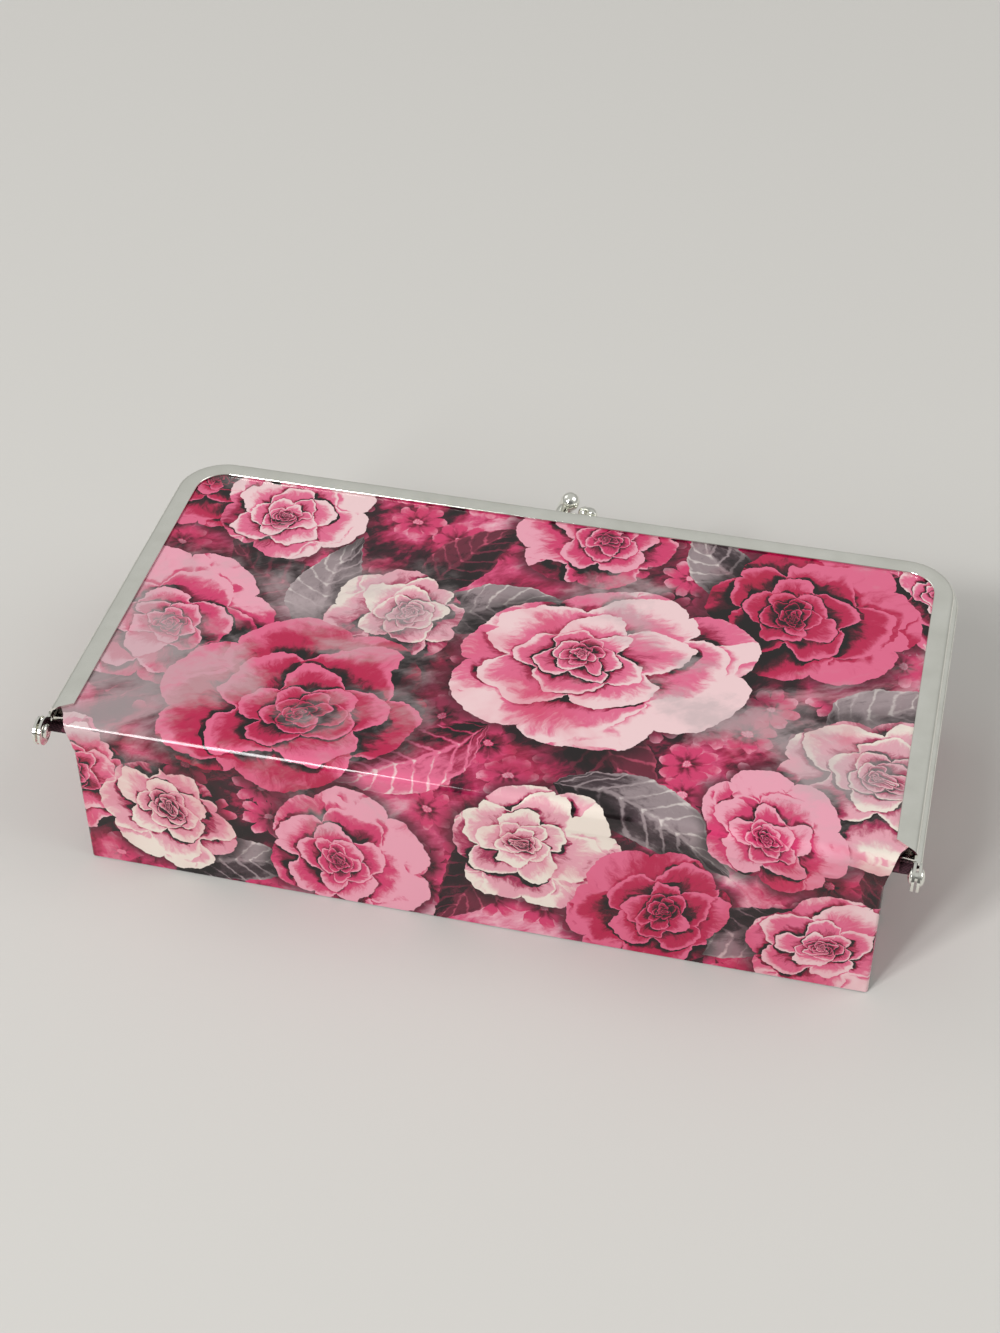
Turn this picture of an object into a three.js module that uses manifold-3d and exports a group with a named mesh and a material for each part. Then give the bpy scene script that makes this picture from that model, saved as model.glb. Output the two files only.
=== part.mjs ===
// Travel jewelry box: a covered board box whose lid and rim are held by a riveted kiss-lock frame.
// Millimetres, +Z up. The origin is the centre of the underside. The hinge side faces -Y, the clasp side +Y.
import * as THREE from 'three';
import { mergeVertices } from 'three/addons/utils/BufferGeometryUtils.js';
import Module from 'manifold-3d';

const wasm = await Module();
wasm.setup();

// Main sizes
const frameWidth = 200;          // across the lower frame half
const caseHeight = 44;           // table to the top of the frame
const bodyDepth = 96.2;          // back wall to front wall, over the cover
const wallInset = 7.2;           // outside of the lower frame half to the wall below it
const wallCornerRadius = 6.2;    // upright corners under the clasp side
const backCornerRadius = 1.2;    // upright corners beside the hinge
const leastCorner = 0.3;         // corners stay at least this round inside the walls

// Sheets, boards and the glue line between them
const coverSheet = 0.7;
const liningSheet = 0.6;
const wallBoard = 2;
const lidBoard = 1.4;
const glueLine = 0.1;
const hemLift = 0.3;             // lower edge of the wall cover above the table

// Frame halves
const frameSheet = 0.6;
const halfHeight = 2.8;
const partingGap = 0.3;
const flangeSetback = 1;         // wall face to the inner edge of the flanges
const halfStep = 1.2;            // the lower half is this much wider on each side
const outerBend = 1.2;           // rounded outer edge that shows
const partingBend = 0.7;         // rounded outer edge at the parting line
const flangeEndInner = 6.2;      // where the flange starts at its inner edge, from the back wall
const flangeEndOuter = 2.9;      // where it starts at the web
const partingFlangeEnd = 3.4;    // where the flange at the parting starts, cut nearly square
const channelClearance = 0.6;    // sheet edges to the web

// Hinge
const hingeBehind = 1.2;         // hinge axis behind the back wall
const earRadius = 3.3;
const earNeck = 7;               // straight part of the ear along the web
const rivetRadius = 1;
const rivetClearance = 0.05;
const rivetInnerHead = 1.7;
const rivetOuterHead = 1.9;
const rivetHeadHeight = 0.85;
const rivetHeadGap = 0.1;

// Clasp
const claspCentre = 2.5;         // middle of the pair along the front rail
const bodyBall = 2.4;
const lidBall = 1.7;
const lidBallSetback = 1.4;      // the lid's ball stands this much nearer to the rail
const claspPass = 0.2;           // gap between the balls as they pass
const claspFootSpread = 2.4;     // foot to ball, along the rail
const claspFootRadius = 1.5;
const claspFootHeight = 0.45;
const claspFootTaper = 0.85;     // top of the foot against its width on the web
const claspStemSink = 0.27;      // the stem starts this deep in its foot
const claspKnuckle = 0.6;        // the stem turns up this far short of its ball
const claspStemRoot = 1.4;
const claspNeck = 0.2;           // the stem ends this much thinner than its ball
const claspReach = 4.9;          // centre of the body's ball in front of the upper half
const claspRise = 1.8;           // the body's ball rests this far above the parting edge of the upper half
const lidBallDrop = 1.9;         // the lid's ball rests this far below it

// Cover
const lipBend = 1.2;             // wall cover turning out into the channel
const lipSetback = 1.2;          // the lip ends this far in front of the flange above it
const foldBend = 2;              // cover bending from the lid to the back wall
const foldDown = 4.4;            // lower edge of the bending strip, below the lid surface
const foldIn = 2.9;              // its upper edge, from the back wall
const foldOverhang = 1.2;        // cover wider than the walls at the fold
const liningLip = 2.5;           // lining turned out over the wall, past the wall face

// Cords in the channels
const cordWidth = 3.1;
const cordStart = 5;             // from the back wall
const cordRound = 0.3;           // rounding of the cord against its height

// Lid inside
const lidBoardClearance = 0.4;
const lidBoardEdge = 2.7;        // back edge of the lid board, from the back wall
const padThickness = 2;
const padClearance = 0.7;
const padBackEdge = 4.6;         // back edge of the lid pad, from the back wall
const padCorner = 3;
const hingeSideCorner = 0.5;     // corners of the lid board beside the hinge
const liningLipCorner = 1;

// Fittings in the box
const dividerThickness = 3;
const dividerTop = 30;
const crossDividerX = 32;
const longDividerY = -2;
const rollCount = 3;
const rollGap = 0.3;
const rollHeight = 20;
const rollEndRound = 2.6;
const rollFootRound = 2.5;
const seatGap = 0.1;

// Places that follow from the sizes
const halfWidth = frameWidth / 2 - wallInset;
const halfDepth = bodyDepth / 2;
const backY = -halfDepth;
const upperOuter = wallInset - halfStep;
const upperTop = caseHeight;
const upperBottom = upperTop - halfHeight;
const lowerTop = upperBottom - partingGap;
const lowerBottom = lowerTop - halfHeight;
const hingeY = backY - hingeBehind;
const hingeZ = (upperBottom + lowerTop) / 2;
const lidCoverTop = upperTop - frameSheet - glueLine;
const lidCoverBottom = lidCoverTop - coverSheet;
const lidBoardTop = lidCoverBottom - glueLine;
const lidBoardBottom = lidBoardTop - lidBoard;
const lidLiningTop = lidBoardBottom - glueLine;
const lidLiningBottom = lidLiningTop - liningSheet;
const padTop = lidLiningBottom - glueLine;
const lipBottom = lowerBottom + frameSheet + glueLine;
const lipTop = lipBottom + coverSheet;
const liningLipBottom = lipTop + glueLine;
const liningLipTop = liningLipBottom + liningSheet;
const boardOffset = coverSheet + glueLine;
const liningOffset = boardOffset + wallBoard + glueLine;
const innerOffset = liningOffset + liningSheet;
const boardTop = liningLipBottom - glueLine;
const foldBottom = lidCoverTop - foldDown;

// Colours of the pieces
const looks = {
  chrome: { color: '#c9cbc8', roughness: 0.12, metalness: 1 },
  print: { color: '#cf5f86', roughness: 0.18, metalness: 0 },
  base: { color: '#2a2022', roughness: 0.6, metalness: 0 },
  board: { color: '#8f867b', roughness: 0.9, metalness: 0 },
  lining: { color: '#7a2b45', roughness: 0.95, metalness: 0 },
  pad: { color: '#8a3550', roughness: 0.95, metalness: 0 },
  paper: { color: '#3d332d', roughness: 0.95, metalness: 0 },
};

const part = new THREE.Group();
part.name = 'travel_jewelry_box';

function addPiece(name, geometry, look) {
  const clean = geometry.index ? geometry : mergeVertices(geometry);
  clean.computeVertexNormals();
  const mesh = new THREE.Mesh(clean, new THREE.MeshStandardMaterial(look));
  mesh.name = name;
  part.add(mesh);
  return mesh;
}

// Solid from a geometry, for cutting and joining
function toSolid(geometry) {
  const bare = geometry.clone();
  bare.deleteAttribute('normal');
  bare.deleteAttribute('uv');
  const merged = mergeVertices(bare, 1e-4);
  const mesh = new wasm.Mesh({
    numProp: 3,
    vertProperties: new Float32Array(merged.attributes.position.array),
    triVerts: new Uint32Array(merged.index.array),
  });
  mesh.merge();
  return new wasm.Manifold(mesh);
}

function toGeometry(solid) {
  const mesh = solid.getMesh();
  const geometry = new THREE.BufferGeometry();
  geometry.setAttribute('position', new THREE.BufferAttribute(new Float32Array(mesh.vertProperties), 3));
  geometry.setIndex(Array.from(mesh.triVerts));
  return geometry;
}

function box(x0, x1, y0, y1, z0, z1) {
  const geometry = new THREE.BoxGeometry(x1 - x0, y1 - y0, z1 - z0);
  geometry.translate((x0 + x1) / 2, (y0 + y1) / 2, (z0 + z1) / 2);
  return geometry;
}

// Closed outline of the case seen from above, with its own corner radius on the hinge and clasp sides
function plan(x, y0, y1, backRadius, frontRadius) {
  const shape = new THREE.Shape();
  shape.moveTo(-x + backRadius, y0);
  shape.lineTo(x - backRadius, y0);
  shape.absarc(x - backRadius, y0 + backRadius, backRadius, -Math.PI / 2, 0, false);
  shape.lineTo(x, y1 - frontRadius);
  shape.absarc(x - frontRadius, y1 - frontRadius, frontRadius, 0, Math.PI / 2, false);
  shape.lineTo(-x + frontRadius, y1);
  shape.absarc(-x + frontRadius, y1 - frontRadius, frontRadius, Math.PI / 2, Math.PI, false);
  shape.lineTo(-x, y0 + backRadius);
  shape.absarc(-x + backRadius, y0 + backRadius, backRadius, Math.PI, Math.PI * 1.5, false);
  return shape;
}

function planInside(offset) {
  const back = Math.max(backCornerRadius - offset, leastCorner);
  const front = Math.max(wallCornerRadius - offset, leastCorner);
  return plan(halfWidth - offset, backY + offset, halfDepth - offset, back, front);
}

function upright(shape, z0, z1, segments = 6) {
  const settings = { depth: z1 - z0, bevelEnabled: false, curveSegments: segments };
  const geometry = new THREE.ExtrudeGeometry(shape, settings);
  geometry.translate(0, 0, z0);
  return geometry;
}

// Plate drawn in the upright plane across the hinge (y, z) and given thickness along X
function sidePlate(shape, x0, x1, segments = 12) {
  const settings = { depth: x1 - x0, bevelEnabled: false, curveSegments: segments };
  const geometry = new THREE.ExtrudeGeometry(shape, settings);
  const turn = new THREE.Matrix4().makeBasis(
    new THREE.Vector3(0, 1, 0),
    new THREE.Vector3(0, 0, 1),
    new THREE.Vector3(1, 0, 0),
  );
  geometry.applyMatrix4(turn);
  geometry.translate(x0, 0, 0);
  return geometry;
}

// Stations along the wall face, from the back on the left, round the clasp side, to the back on the right
function wallStations(fromBack, steps = 7) {
  const stations = [{ x: -halfWidth, y: backY + fromBack, nx: -1, ny: 0 }];
  const cornerY = halfDepth - wallCornerRadius;
  for (const side of [-1, 1]) {
    for (let i = 0; i <= steps; i += 1) {
      const share = side < 0 ? i / steps : 1 - i / steps;
      const angle = share * Math.PI / 2;
      const nx = side * Math.cos(angle);
      const ny = Math.sin(angle);
      const cornerX = side * (halfWidth - wallCornerRadius);
      stations.push({ x: cornerX + nx * wallCornerRadius, y: cornerY + ny * wallCornerRadius, nx, ny });
    }
  }
  stations.push({ x: halfWidth, y: backY + fromBack, nx: 1, ny: 0 });
  return stations;
}

// Closed profile of (distance out from the wall face, height), carried along the stations
function carryProfile(profile, stations) {
  const positions = [];
  const index = [];
  const count = profile.length;
  const loop = profile.map(([u, z]) => new THREE.Vector2(u, z));
  if (THREE.ShapeUtils.isClockWise(loop)) {
    loop.reverse();
  }
  for (const s of stations) {
    for (const p of loop) {
      positions.push(s.x + s.nx * p.x, s.y + s.ny * p.x, p.y);
    }
  }
  for (let i = 0; i < stations.length - 1; i += 1) {
    for (let j = 0; j < count; j += 1) {
      const a = i * count + j;
      const b = i * count + (j + 1) % count;
      index.push(a, a + count, b, b, a + count, b + count);
    }
  }
  const cap = THREE.ShapeUtils.triangulateShape(loop, []);
  const last = (stations.length - 1) * count;
  for (const [a, b, c] of cap) {
    index.push(a, b, c);
    index.push(last + a, last + c, last + b);
  }
  return facingOut(positions, index);
}

function facingOut(positions, index) {
  let volume = 0;
  const at = (i) => new THREE.Vector3(positions[3 * i], positions[3 * i + 1], positions[3 * i + 2]);
  for (let i = 0; i < index.length; i += 3) {
    volume += at(index[i]).dot(at(index[i + 1]).cross(at(index[i + 2])));
  }
  if (volume < 0) {
    for (let i = 0; i < index.length; i += 3) {
      const keep = index[i + 1];
      index[i + 1] = index[i + 2];
      index[i + 2] = keep;
    }
  }
  const geometry = new THREE.BufferGeometry();
  geometry.setAttribute('position', new THREE.Float32BufferAttribute(positions, 3));
  geometry.setIndex(index);
  return geometry;
}

// Body through a row of closed convex sections with the same number of points
function loft(sections) {
  const positions = [];
  const index = [];
  const count = sections[0].length;
  for (const section of sections) {
    for (const point of section) {
      positions.push(point.x, point.y, point.z);
    }
  }
  for (let i = 0; i < sections.length - 1; i += 1) {
    for (let j = 0; j < count; j += 1) {
      const a = i * count + j;
      const b = i * count + (j + 1) % count;
      index.push(a, b, a + count, b, b + count, a + count);
    }
  }
  const last = (sections.length - 1) * count;
  for (let j = 1; j < count - 1; j += 1) {
    index.push(0, j + 1, j);
    index.push(last, last + j, last + j + 1);
  }
  return facingOut(positions, index);
}

function arcPoints(cu, cz, radius, from, to, steps) {
  const points = [];
  for (let i = 0; i <= steps; i += 1) {
    const angle = from + (to - from) * i / steps;
    points.push([cu + radius * Math.cos(angle), cz + radius * Math.sin(angle)]);
  }
  return points;
}

// Frame halves: a channel that opens inwards, its ends cut at a slant, with an ear beside each end
function channelProfile(inner, outer, bottom, top, topBend, bottomBend) {
  const t = frameSheet;
  const right = Math.PI / 2;
  return [
    [inner, top],
    ...arcPoints(outer - topBend, top - topBend, topBend, right, 0, 4),
    ...arcPoints(outer - bottomBend, bottom + bottomBend, bottomBend, 0, -right, 3),
    [inner, bottom],
    [inner, bottom + t],
    ...arcPoints(outer - bottomBend, bottom + bottomBend, bottomBend - t, -right, 0, 3),
    ...arcPoints(outer - topBend, top - topBend, topBend - t, 0, right, 4),
    [inner, top - t],
  ];
}

// Block that takes away everything behind a slanted line across one side of the frame, between two heights
function slantBlock(side, innerX, innerFromBack, outerX, outerFromBack, z0 = 0, z1 = caseHeight + 10) {
  const slope = (outerFromBack - innerFromBack) / (outerX - innerX);
  const nearX = innerX - 4;
  const farX = outerX + 4;
  const behind = backY - 20;
  const points = [
    new THREE.Vector2(side * nearX, behind),
    new THREE.Vector2(side * farX, behind),
    new THREE.Vector2(side * farX, backY + innerFromBack + slope * (farX - innerX)),
    new THREE.Vector2(side * nearX, backY + innerFromBack + slope * (nearX - innerX)),
  ];
  if (side < 0) {
    points.reverse();
  }
  return toSolid(upright(new THREE.Shape(points), z0, z1));
}

function earSolid(side, outerFace, bottom, top) {
  const disc = new THREE.Shape();
  disc.absarc(hingeY, hingeZ, earRadius, 0, Math.PI * 2, false);
  const neck = new THREE.Shape();
  neck.moveTo(hingeY, bottom);
  neck.lineTo(hingeY + earNeck, bottom);
  neck.lineTo(hingeY + earNeck, top);
  neck.lineTo(hingeY, top);
  neck.closePath();
  const hole = new THREE.Shape();
  hole.absarc(hingeY, hingeZ, rivetRadius + rivetClearance, 0, Math.PI * 2, false);
  const x0 = side > 0 ? outerFace - frameSheet : -outerFace;
  const x1 = x0 + frameSheet;
  const ear = toSolid(sidePlate(disc, x0, x1)).add(toSolid(sidePlate(neck, x0, x1)));
  return ear.subtract(toSolid(sidePlate(hole, x0 - 1, x1 + 1)));
}

function frameHalf(outer, bottom, top, topBend, bottomBend, partingAtTop) {
  const profile = channelProfile(flangeSetback, outer, bottom, top, topBend, bottomBend);
  const innerX = halfWidth + flangeSetback;
  const outerX = halfWidth + outer;
  const slantLow = partingAtTop ? bottom - frameSheet : bottom + 2 * frameSheet;
  const slantHigh = partingAtTop ? top - 2 * frameSheet : top + frameSheet;
  let half = toSolid(carryProfile(profile, wallStations(0)));
  for (const side of [-1, 1]) {
    const square = slantBlock(side, innerX, partingFlangeEnd, outerX, flangeEndOuter);
    const slant = slantBlock(side, innerX, flangeEndInner, outerX, flangeEndOuter, slantLow, slantHigh);
    half = half.subtract(square).subtract(slant);
  }
  for (const side of [-1, 1]) {
    half = half.add(earSolid(side, outerX, bottom + bottomBend, top - topBend));
  }
  return toGeometry(half);
}

const lidFrame = frameHalf(upperOuter, upperBottom, upperTop, outerBend, partingBend, false);
const bodyFrame = frameHalf(wallInset, lowerBottom, lowerTop, partingBend, outerBend, true);
addPiece('lid_frame', lidFrame, looks.chrome);
addPiece('body_frame', bodyFrame, looks.chrome);

// Hinge rivets, turned about their own axis and laid across the ears
function rivet(side) {
  const innerFace = halfWidth + upperOuter - frameSheet - rivetHeadGap;
  const outerFace = halfWidth + wallInset + rivetHeadGap;
  const profile = [new THREE.Vector2(0, innerFace - rivetHeadHeight)];
  for (const [r, h] of [[0.55, 0.97], [0.85, 0.75], [1, 0.35], [1, 0]]) {
    profile.push(new THREE.Vector2(rivetInnerHead * r, innerFace - rivetHeadHeight * h));
  }
  profile.push(new THREE.Vector2(rivetRadius, innerFace));
  profile.push(new THREE.Vector2(rivetRadius, outerFace));
  for (const [r, h] of [[1, 0], [1, 0.35], [0.85, 0.75], [0.55, 0.97]]) {
    profile.push(new THREE.Vector2(rivetOuterHead * r, outerFace + rivetHeadHeight * h));
  }
  profile.push(new THREE.Vector2(0, outerFace + rivetHeadHeight));
  const geometry = new THREE.LatheGeometry(profile, 24);
  geometry.rotateZ(-Math.PI / 2 * side);
  geometry.translate(0, hingeY, hingeZ);
  return toGeometry(toSolid(geometry));
}

addPiece('hinge_rivet_left', rivet(-1), looks.chrome);
addPiece('hinge_rivet_right', rivet(1), looks.chrome);

// Clasp: a foot on the web, a stem that swells as it leans over, and a ball on the other half's side
function claspArm(side, ballRadius, reach, webY, footZ, ballZ) {
  const ballX = claspCentre + side * claspSpread / 2;
  const footX = ballX + side * claspFootSpread;
  const ballY = halfDepth + upperOuter + reach;
  const footFace = webY + glueLine;
  const curve = new THREE.QuadraticBezierCurve3(
    new THREE.Vector3(footX, footFace + claspFootHeight - claspStemSink, footZ),
    new THREE.Vector3(footX, ballY - claspKnuckle, footZ),
    new THREE.Vector3(ballX, ballY, ballZ),
  );
  const sides = 14;
  const rings = 9;
  const sections = [];
  for (let i = 0; i < rings; i += 1) {
    const share = i / (rings - 1);
    const centre = curve.getPoint(share);
    const along = curve.getTangent(share).normalize();
    const across = new THREE.Vector3(1, 0, 0).addScaledVector(along, -along.x).normalize();
    const over = along.clone().cross(across);
    const radius = claspStemRoot + (ballRadius - claspNeck - claspStemRoot) * share;
    const ring = [];
    for (let j = 0; j < sides; j += 1) {
      const angle = j / sides * Math.PI * 2;
      const point = centre.clone();
      point.addScaledVector(across, radius * Math.cos(angle));
      point.addScaledVector(over, radius * Math.sin(angle));
      ring.push(point);
    }
    sections.push(ring);
  }
  const stem = toSolid(loft(sections));
  const ball = new THREE.SphereGeometry(ballRadius, 20, 14);
  ball.translate(ballX, ballY, ballZ);
  const footTop = claspFootRadius * claspFootTaper;
  const foot = new THREE.CylinderGeometry(footTop, claspFootRadius, claspFootHeight, 20);
  foot.translate(footX, footFace + claspFootHeight / 2, footZ);
  return toGeometry(stem.add(toSolid(ball)).add(toSolid(foot)));
}

const upperWebY = halfDepth + upperOuter;
const lowerWebY = halfDepth + wallInset;
const upperMiddle = (upperTop + upperBottom) / 2;
const lowerMiddle = (lowerTop + lowerBottom) / 2;
const lidReach = claspReach - lidBallSetback;
const claspSpread = Math.sqrt((bodyBall + lidBall + claspPass) ** 2 - lidBallSetback ** 2);
const bodyBallZ = upperBottom + claspRise;
const lidBallZ = bodyBallZ - lidBallDrop;
addPiece('lid_clasp', claspArm(1, lidBall, lidReach, upperWebY, upperMiddle, lidBallZ), looks.chrome);
addPiece('body_clasp', claspArm(-1, bodyBall, claspReach, lowerWebY, lowerMiddle, bodyBallZ), looks.chrome);

// Boards of the box
const base = coverSheet + glueLine;
const wallFoot = base + wallBoard + glueLine;
const boardX = halfWidth - boardOffset;
const boardBack = backY + boardOffset;
const boardFront = halfDepth - boardOffset;
const boardCorner = wallCornerRadius - boardOffset + glueLine;
addPiece('base_board', upright(planInside(boardOffset), base, base + wallBoard), looks.board);
addPiece(
  'back_board',
  box(-boardX, boardX, boardBack, boardBack + wallBoard, wallFoot, boardTop),
  looks.board,
);
addPiece(
  'front_board',
  box(-boardX + boardCorner, boardX - boardCorner, boardFront - wallBoard, boardFront, wallFoot, boardTop),
  looks.board,
);
const sideBack = boardBack + wallBoard + glueLine;
const sideFront = boardFront - boardCorner;
addPiece(
  'left_board',
  box(-boardX, -boardX + wallBoard, sideBack, sideFront, wallFoot, boardTop),
  looks.board,
);
addPiece(
  'right_board',
  box(boardX - wallBoard, boardX, sideBack, sideFront, wallFoot, boardTop),
  looks.board,
);

// Cover of the box: sheet under the base, sheet down the back, and the sheet round the other three walls
addPiece('base_cover', upright(planInside(boardOffset), 0, coverSheet), looks.base);
addPiece(
  'back_cover',
  box(-halfWidth, halfWidth, backY, backY + coverSheet, hemLift, foldBottom - glueLine),
  looks.print,
);

function wallCover() {
  const bendZ = lipBottom - lipBend;
  const lipEnd = wallInset - frameSheet - channelClearance;
  const half = Math.PI / 2;
  const profile = [
    [0, hemLift],
    ...arcPoints(lipBend, bendZ, lipBend, Math.PI, half, 4),
    [lipEnd, lipBottom],
    [lipEnd, lipTop],
    ...arcPoints(lipBend, bendZ, lipBend + coverSheet, half, Math.PI, 5),
    [-coverSheet, hemLift],
  ];
  let cover = toSolid(carryProfile(profile, wallStations(coverSheet + glueLine)));
  const startX = halfWidth + flangeSetback;
  for (const side of [-1, 1]) {
    const lipEndX = halfWidth + wallInset;
    cover = cover.subtract(slantBlock(side, startX, boardOffset, lipEndX, flangeEndOuter + lipSetback));
  }
  return toGeometry(cover);
}

addPiece('wall_cover', wallCover(), looks.print);

// Cover of the lid and the strip that bends
function lidCover() {
  const reach = upperOuter - frameSheet - channelClearance;
  const x = halfWidth + reach;
  const y1 = halfDepth + reach;
  const corner = wallCornerRadius + reach;
  const y0 = backY + foldIn + glueLine;
  const startX = halfWidth + foldOverhang;
  const shape = new THREE.Shape();
  shape.moveTo(-startX, y0);
  shape.lineTo(startX, y0);
  shape.lineTo(x, backY + flangeEndInner);
  shape.lineTo(x, y1 - corner);
  shape.absarc(x - corner, y1 - corner, corner, 0, Math.PI / 2, false);
  shape.lineTo(-x + corner, y1);
  shape.absarc(-x + corner, y1 - corner, corner, Math.PI / 2, Math.PI, false);
  shape.lineTo(-x, backY + flangeEndInner);
  shape.closePath();
  return upright(shape, lidCoverBottom, lidCoverTop, 7);
}

function coverFold() {
  const cy = backY + foldBend;
  const cz = lidCoverTop - foldBend;
  const shape = new THREE.Shape();
  shape.moveTo(backY, foldBottom);
  shape.lineTo(backY + coverSheet, foldBottom);
  shape.lineTo(backY + coverSheet, cz);
  shape.absarc(cy, cz, foldBend - coverSheet, Math.PI, Math.PI / 2, true);
  shape.lineTo(backY + foldIn, lidCoverBottom);
  shape.lineTo(backY + foldIn, lidCoverTop);
  shape.lineTo(cy, lidCoverTop);
  shape.absarc(cy, cz, foldBend, Math.PI / 2, Math.PI, false);
  shape.closePath();
  return sidePlate(shape, -halfWidth - foldOverhang, halfWidth + foldOverhang, 6);
}

addPiece('lid_cover', lidCover(), looks.print);
addPiece('cover_fold', coverFold(), looks.print);

// Paper cords pressed into the channels
function channelCord(webInside, z0, z1) {
  const outer = webInside - channelClearance;
  const inner = outer - cordWidth;
  const round = (z1 - z0) * cordRound;
  const profile = [
    [inner + round, z0],
    [outer - round, z0],
    [outer, z0 + round],
    [outer, z1 - round],
    [outer - round, z1],
    [inner + round, z1],
    [inner, z1 - round],
    [inner, z0 + round],
  ];
  return carryProfile(profile, wallStations(cordStart));
}

const upperSlot = upperBottom + frameSheet;
addPiece(
  'lid_cord',
  channelCord(upperOuter - frameSheet, upperSlot + glueLine, lidCoverBottom - glueLine),
  looks.paper,
);
addPiece(
  'body_cord',
  channelCord(wallInset - frameSheet, liningLipBottom, lowerTop - frameSheet - glueLine),
  looks.paper,
);

// Lid board, the lining under it and the pad
const lidInnerX = halfWidth + flangeSetback - lidBoardClearance;
const lidInnerFront = halfDepth + flangeSetback - lidBoardClearance;
const lidCorner = wallCornerRadius + flangeSetback - lidBoardClearance;
const lidPlan = plan(lidInnerX, backY + lidBoardEdge, lidInnerFront, hingeSideCorner, lidCorner);
addPiece('lid_board', upright(lidPlan, lidBoardBottom, lidBoardTop), looks.board);
addPiece('lid_lining', upright(lidPlan, lidLiningBottom, lidLiningTop), looks.lining);

// Soft plate that thins towards its rim and swells to a low crown below
function softPlate(x, y0, y1, corner, top, thickness) {
  const levels = [
    { down: 0, inset: 0.5 },
    { down: 0.25, inset: 0.1 },
    { down: 0.5, inset: 0 },
    { down: 0.72, inset: 0.45 },
    { down: 0.86, inset: 1.7 },
    { down: 0.95, inset: 6 },
    { down: 1, inset: 16 },
  ];
  const sections = levels.map((level) => {
    const radius = Math.max(corner - level.inset * 0.4, 0.5);
    const ring = plan(x - level.inset, y0 + level.inset, y1 - level.inset, radius, radius).getPoints(5);
    ring.pop();
    return ring.map((p) => new THREE.Vector3(p.x, p.y, top - thickness * level.down));
  });
  return loft(sections);
}

addPiece(
  'lid_pad',
  softPlate(
    halfWidth - innerOffset - padClearance,
    backY + padBackEdge,
    halfDepth - innerOffset - padClearance,
    padCorner,
    padTop,
    padThickness,
  ),
  looks.pad,
);

// Lining of the box: floor, four walls and a lip turned out over the boards
function bodyLining() {
  const floor = wallFoot;
  const shell = toSolid(upright(planInside(liningOffset), floor, liningLipTop));
  const lipShape = plan(
    halfWidth + liningLip,
    backY + boardOffset,
    halfDepth + liningLip,
    liningLipCorner,
    wallCornerRadius + liningLip,
  );
  const lip = toSolid(upright(lipShape, liningLipBottom, liningLipTop));
  const hollow = toSolid(upright(planInside(innerOffset), floor + liningSheet, liningLipTop + 5));
  return toGeometry(shell.add(lip).subtract(hollow));
}

addPiece('body_lining', bodyLining(), looks.lining);

// Dividers and ring rolls
const floorTop = wallFoot + liningSheet + seatGap;
const insideX = halfWidth - innerOffset - seatGap;
const insideBack = backY + innerOffset + seatGap;
const insideFront = halfDepth - innerOffset - seatGap;
const crossLeft = crossDividerX - dividerThickness / 2;
const longBack = longDividerY - dividerThickness / 2;

function divider(x0, x1, y0, y1) {
  const alongX = x1 - x0 > y1 - y0;
  const half = dividerThickness / 2;
  const shape = new THREE.Shape();
  shape.moveTo(-half, floorTop);
  shape.lineTo(half, floorTop);
  shape.lineTo(half, dividerTop - half);
  shape.absarc(0, dividerTop - half, half, 0, Math.PI, false);
  shape.closePath();
  const length = alongX ? x1 - x0 : y1 - y0;
  const geometry = sidePlate(shape, 0, length, 6);
  if (alongX) {
    geometry.translate(x0, (y0 + y1) / 2, 0);
  } else {
    geometry.rotateZ(Math.PI / 2);
    geometry.translate((x0 + x1) / 2, y0, 0);
  }
  return geometry;
}

addPiece(
  'cross_divider',
  divider(crossLeft, crossLeft + dividerThickness, insideBack, insideFront),
  looks.lining,
);
addPiece(
  'long_divider',
  divider(-insideX, crossLeft - seatGap, longBack, longBack + dividerThickness),
  looks.lining,
);

const rollSpace = longBack - seatGap - insideBack;
const rollWidth = (rollSpace - rollGap * (rollCount - 1)) / rollCount;
const rollStart = -insideX;
const rollEnd = crossLeft - seatGap;

// Section of a roll at one place along its length, drawn in by the inset towards its ends
function rollSection(x, centreY, inset) {
  const half = rollWidth / 2 - inset;
  const foot = Math.max(rollFootRound - inset * 0.4, 0.4);
  const low = floorTop + inset;
  const crown = floorTop + rollHeight - inset - half;
  const right = Math.PI / 2;
  const points = [
    ...arcPoints(half - foot, low + foot, foot, -right, 0, 3),
    ...arcPoints(0, crown, half, 0, Math.PI, 12),
    ...arcPoints(-half + foot, low + foot, foot, Math.PI, Math.PI + right, 3),
  ];
  return points.map(([y, z]) => new THREE.Vector3(x, centreY + y, z));
}

function ringRoll(number) {
  const centreY = insideBack + rollWidth / 2 + number * (rollWidth + rollGap);
  const steps = 5;
  const near = [];
  const far = [];
  for (let i = 0; i <= steps; i += 1) {
    const angle = i / steps * Math.PI / 2;
    const inset = rollEndRound * (1 - Math.sin(angle));
    const along = rollEndRound * (1 - Math.cos(angle));
    near.push(rollSection(rollStart + along, centreY, inset));
    far.unshift(rollSection(rollEnd - along, centreY, inset));
  }
  return loft([...near, ...far]);
}

['ring_roll_back', 'ring_roll_middle', 'ring_roll_front'].forEach((name, number) => {
  addPiece(name, ringRoll(number), looks.pad);
});

export default part;
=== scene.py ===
"""Looks of the travel jewelry box: printed patent cover, polished kiss-lock frame, soft lined inside."""

import math

import bmesh
import bpy
from mathutils import Matrix, Vector


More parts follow.
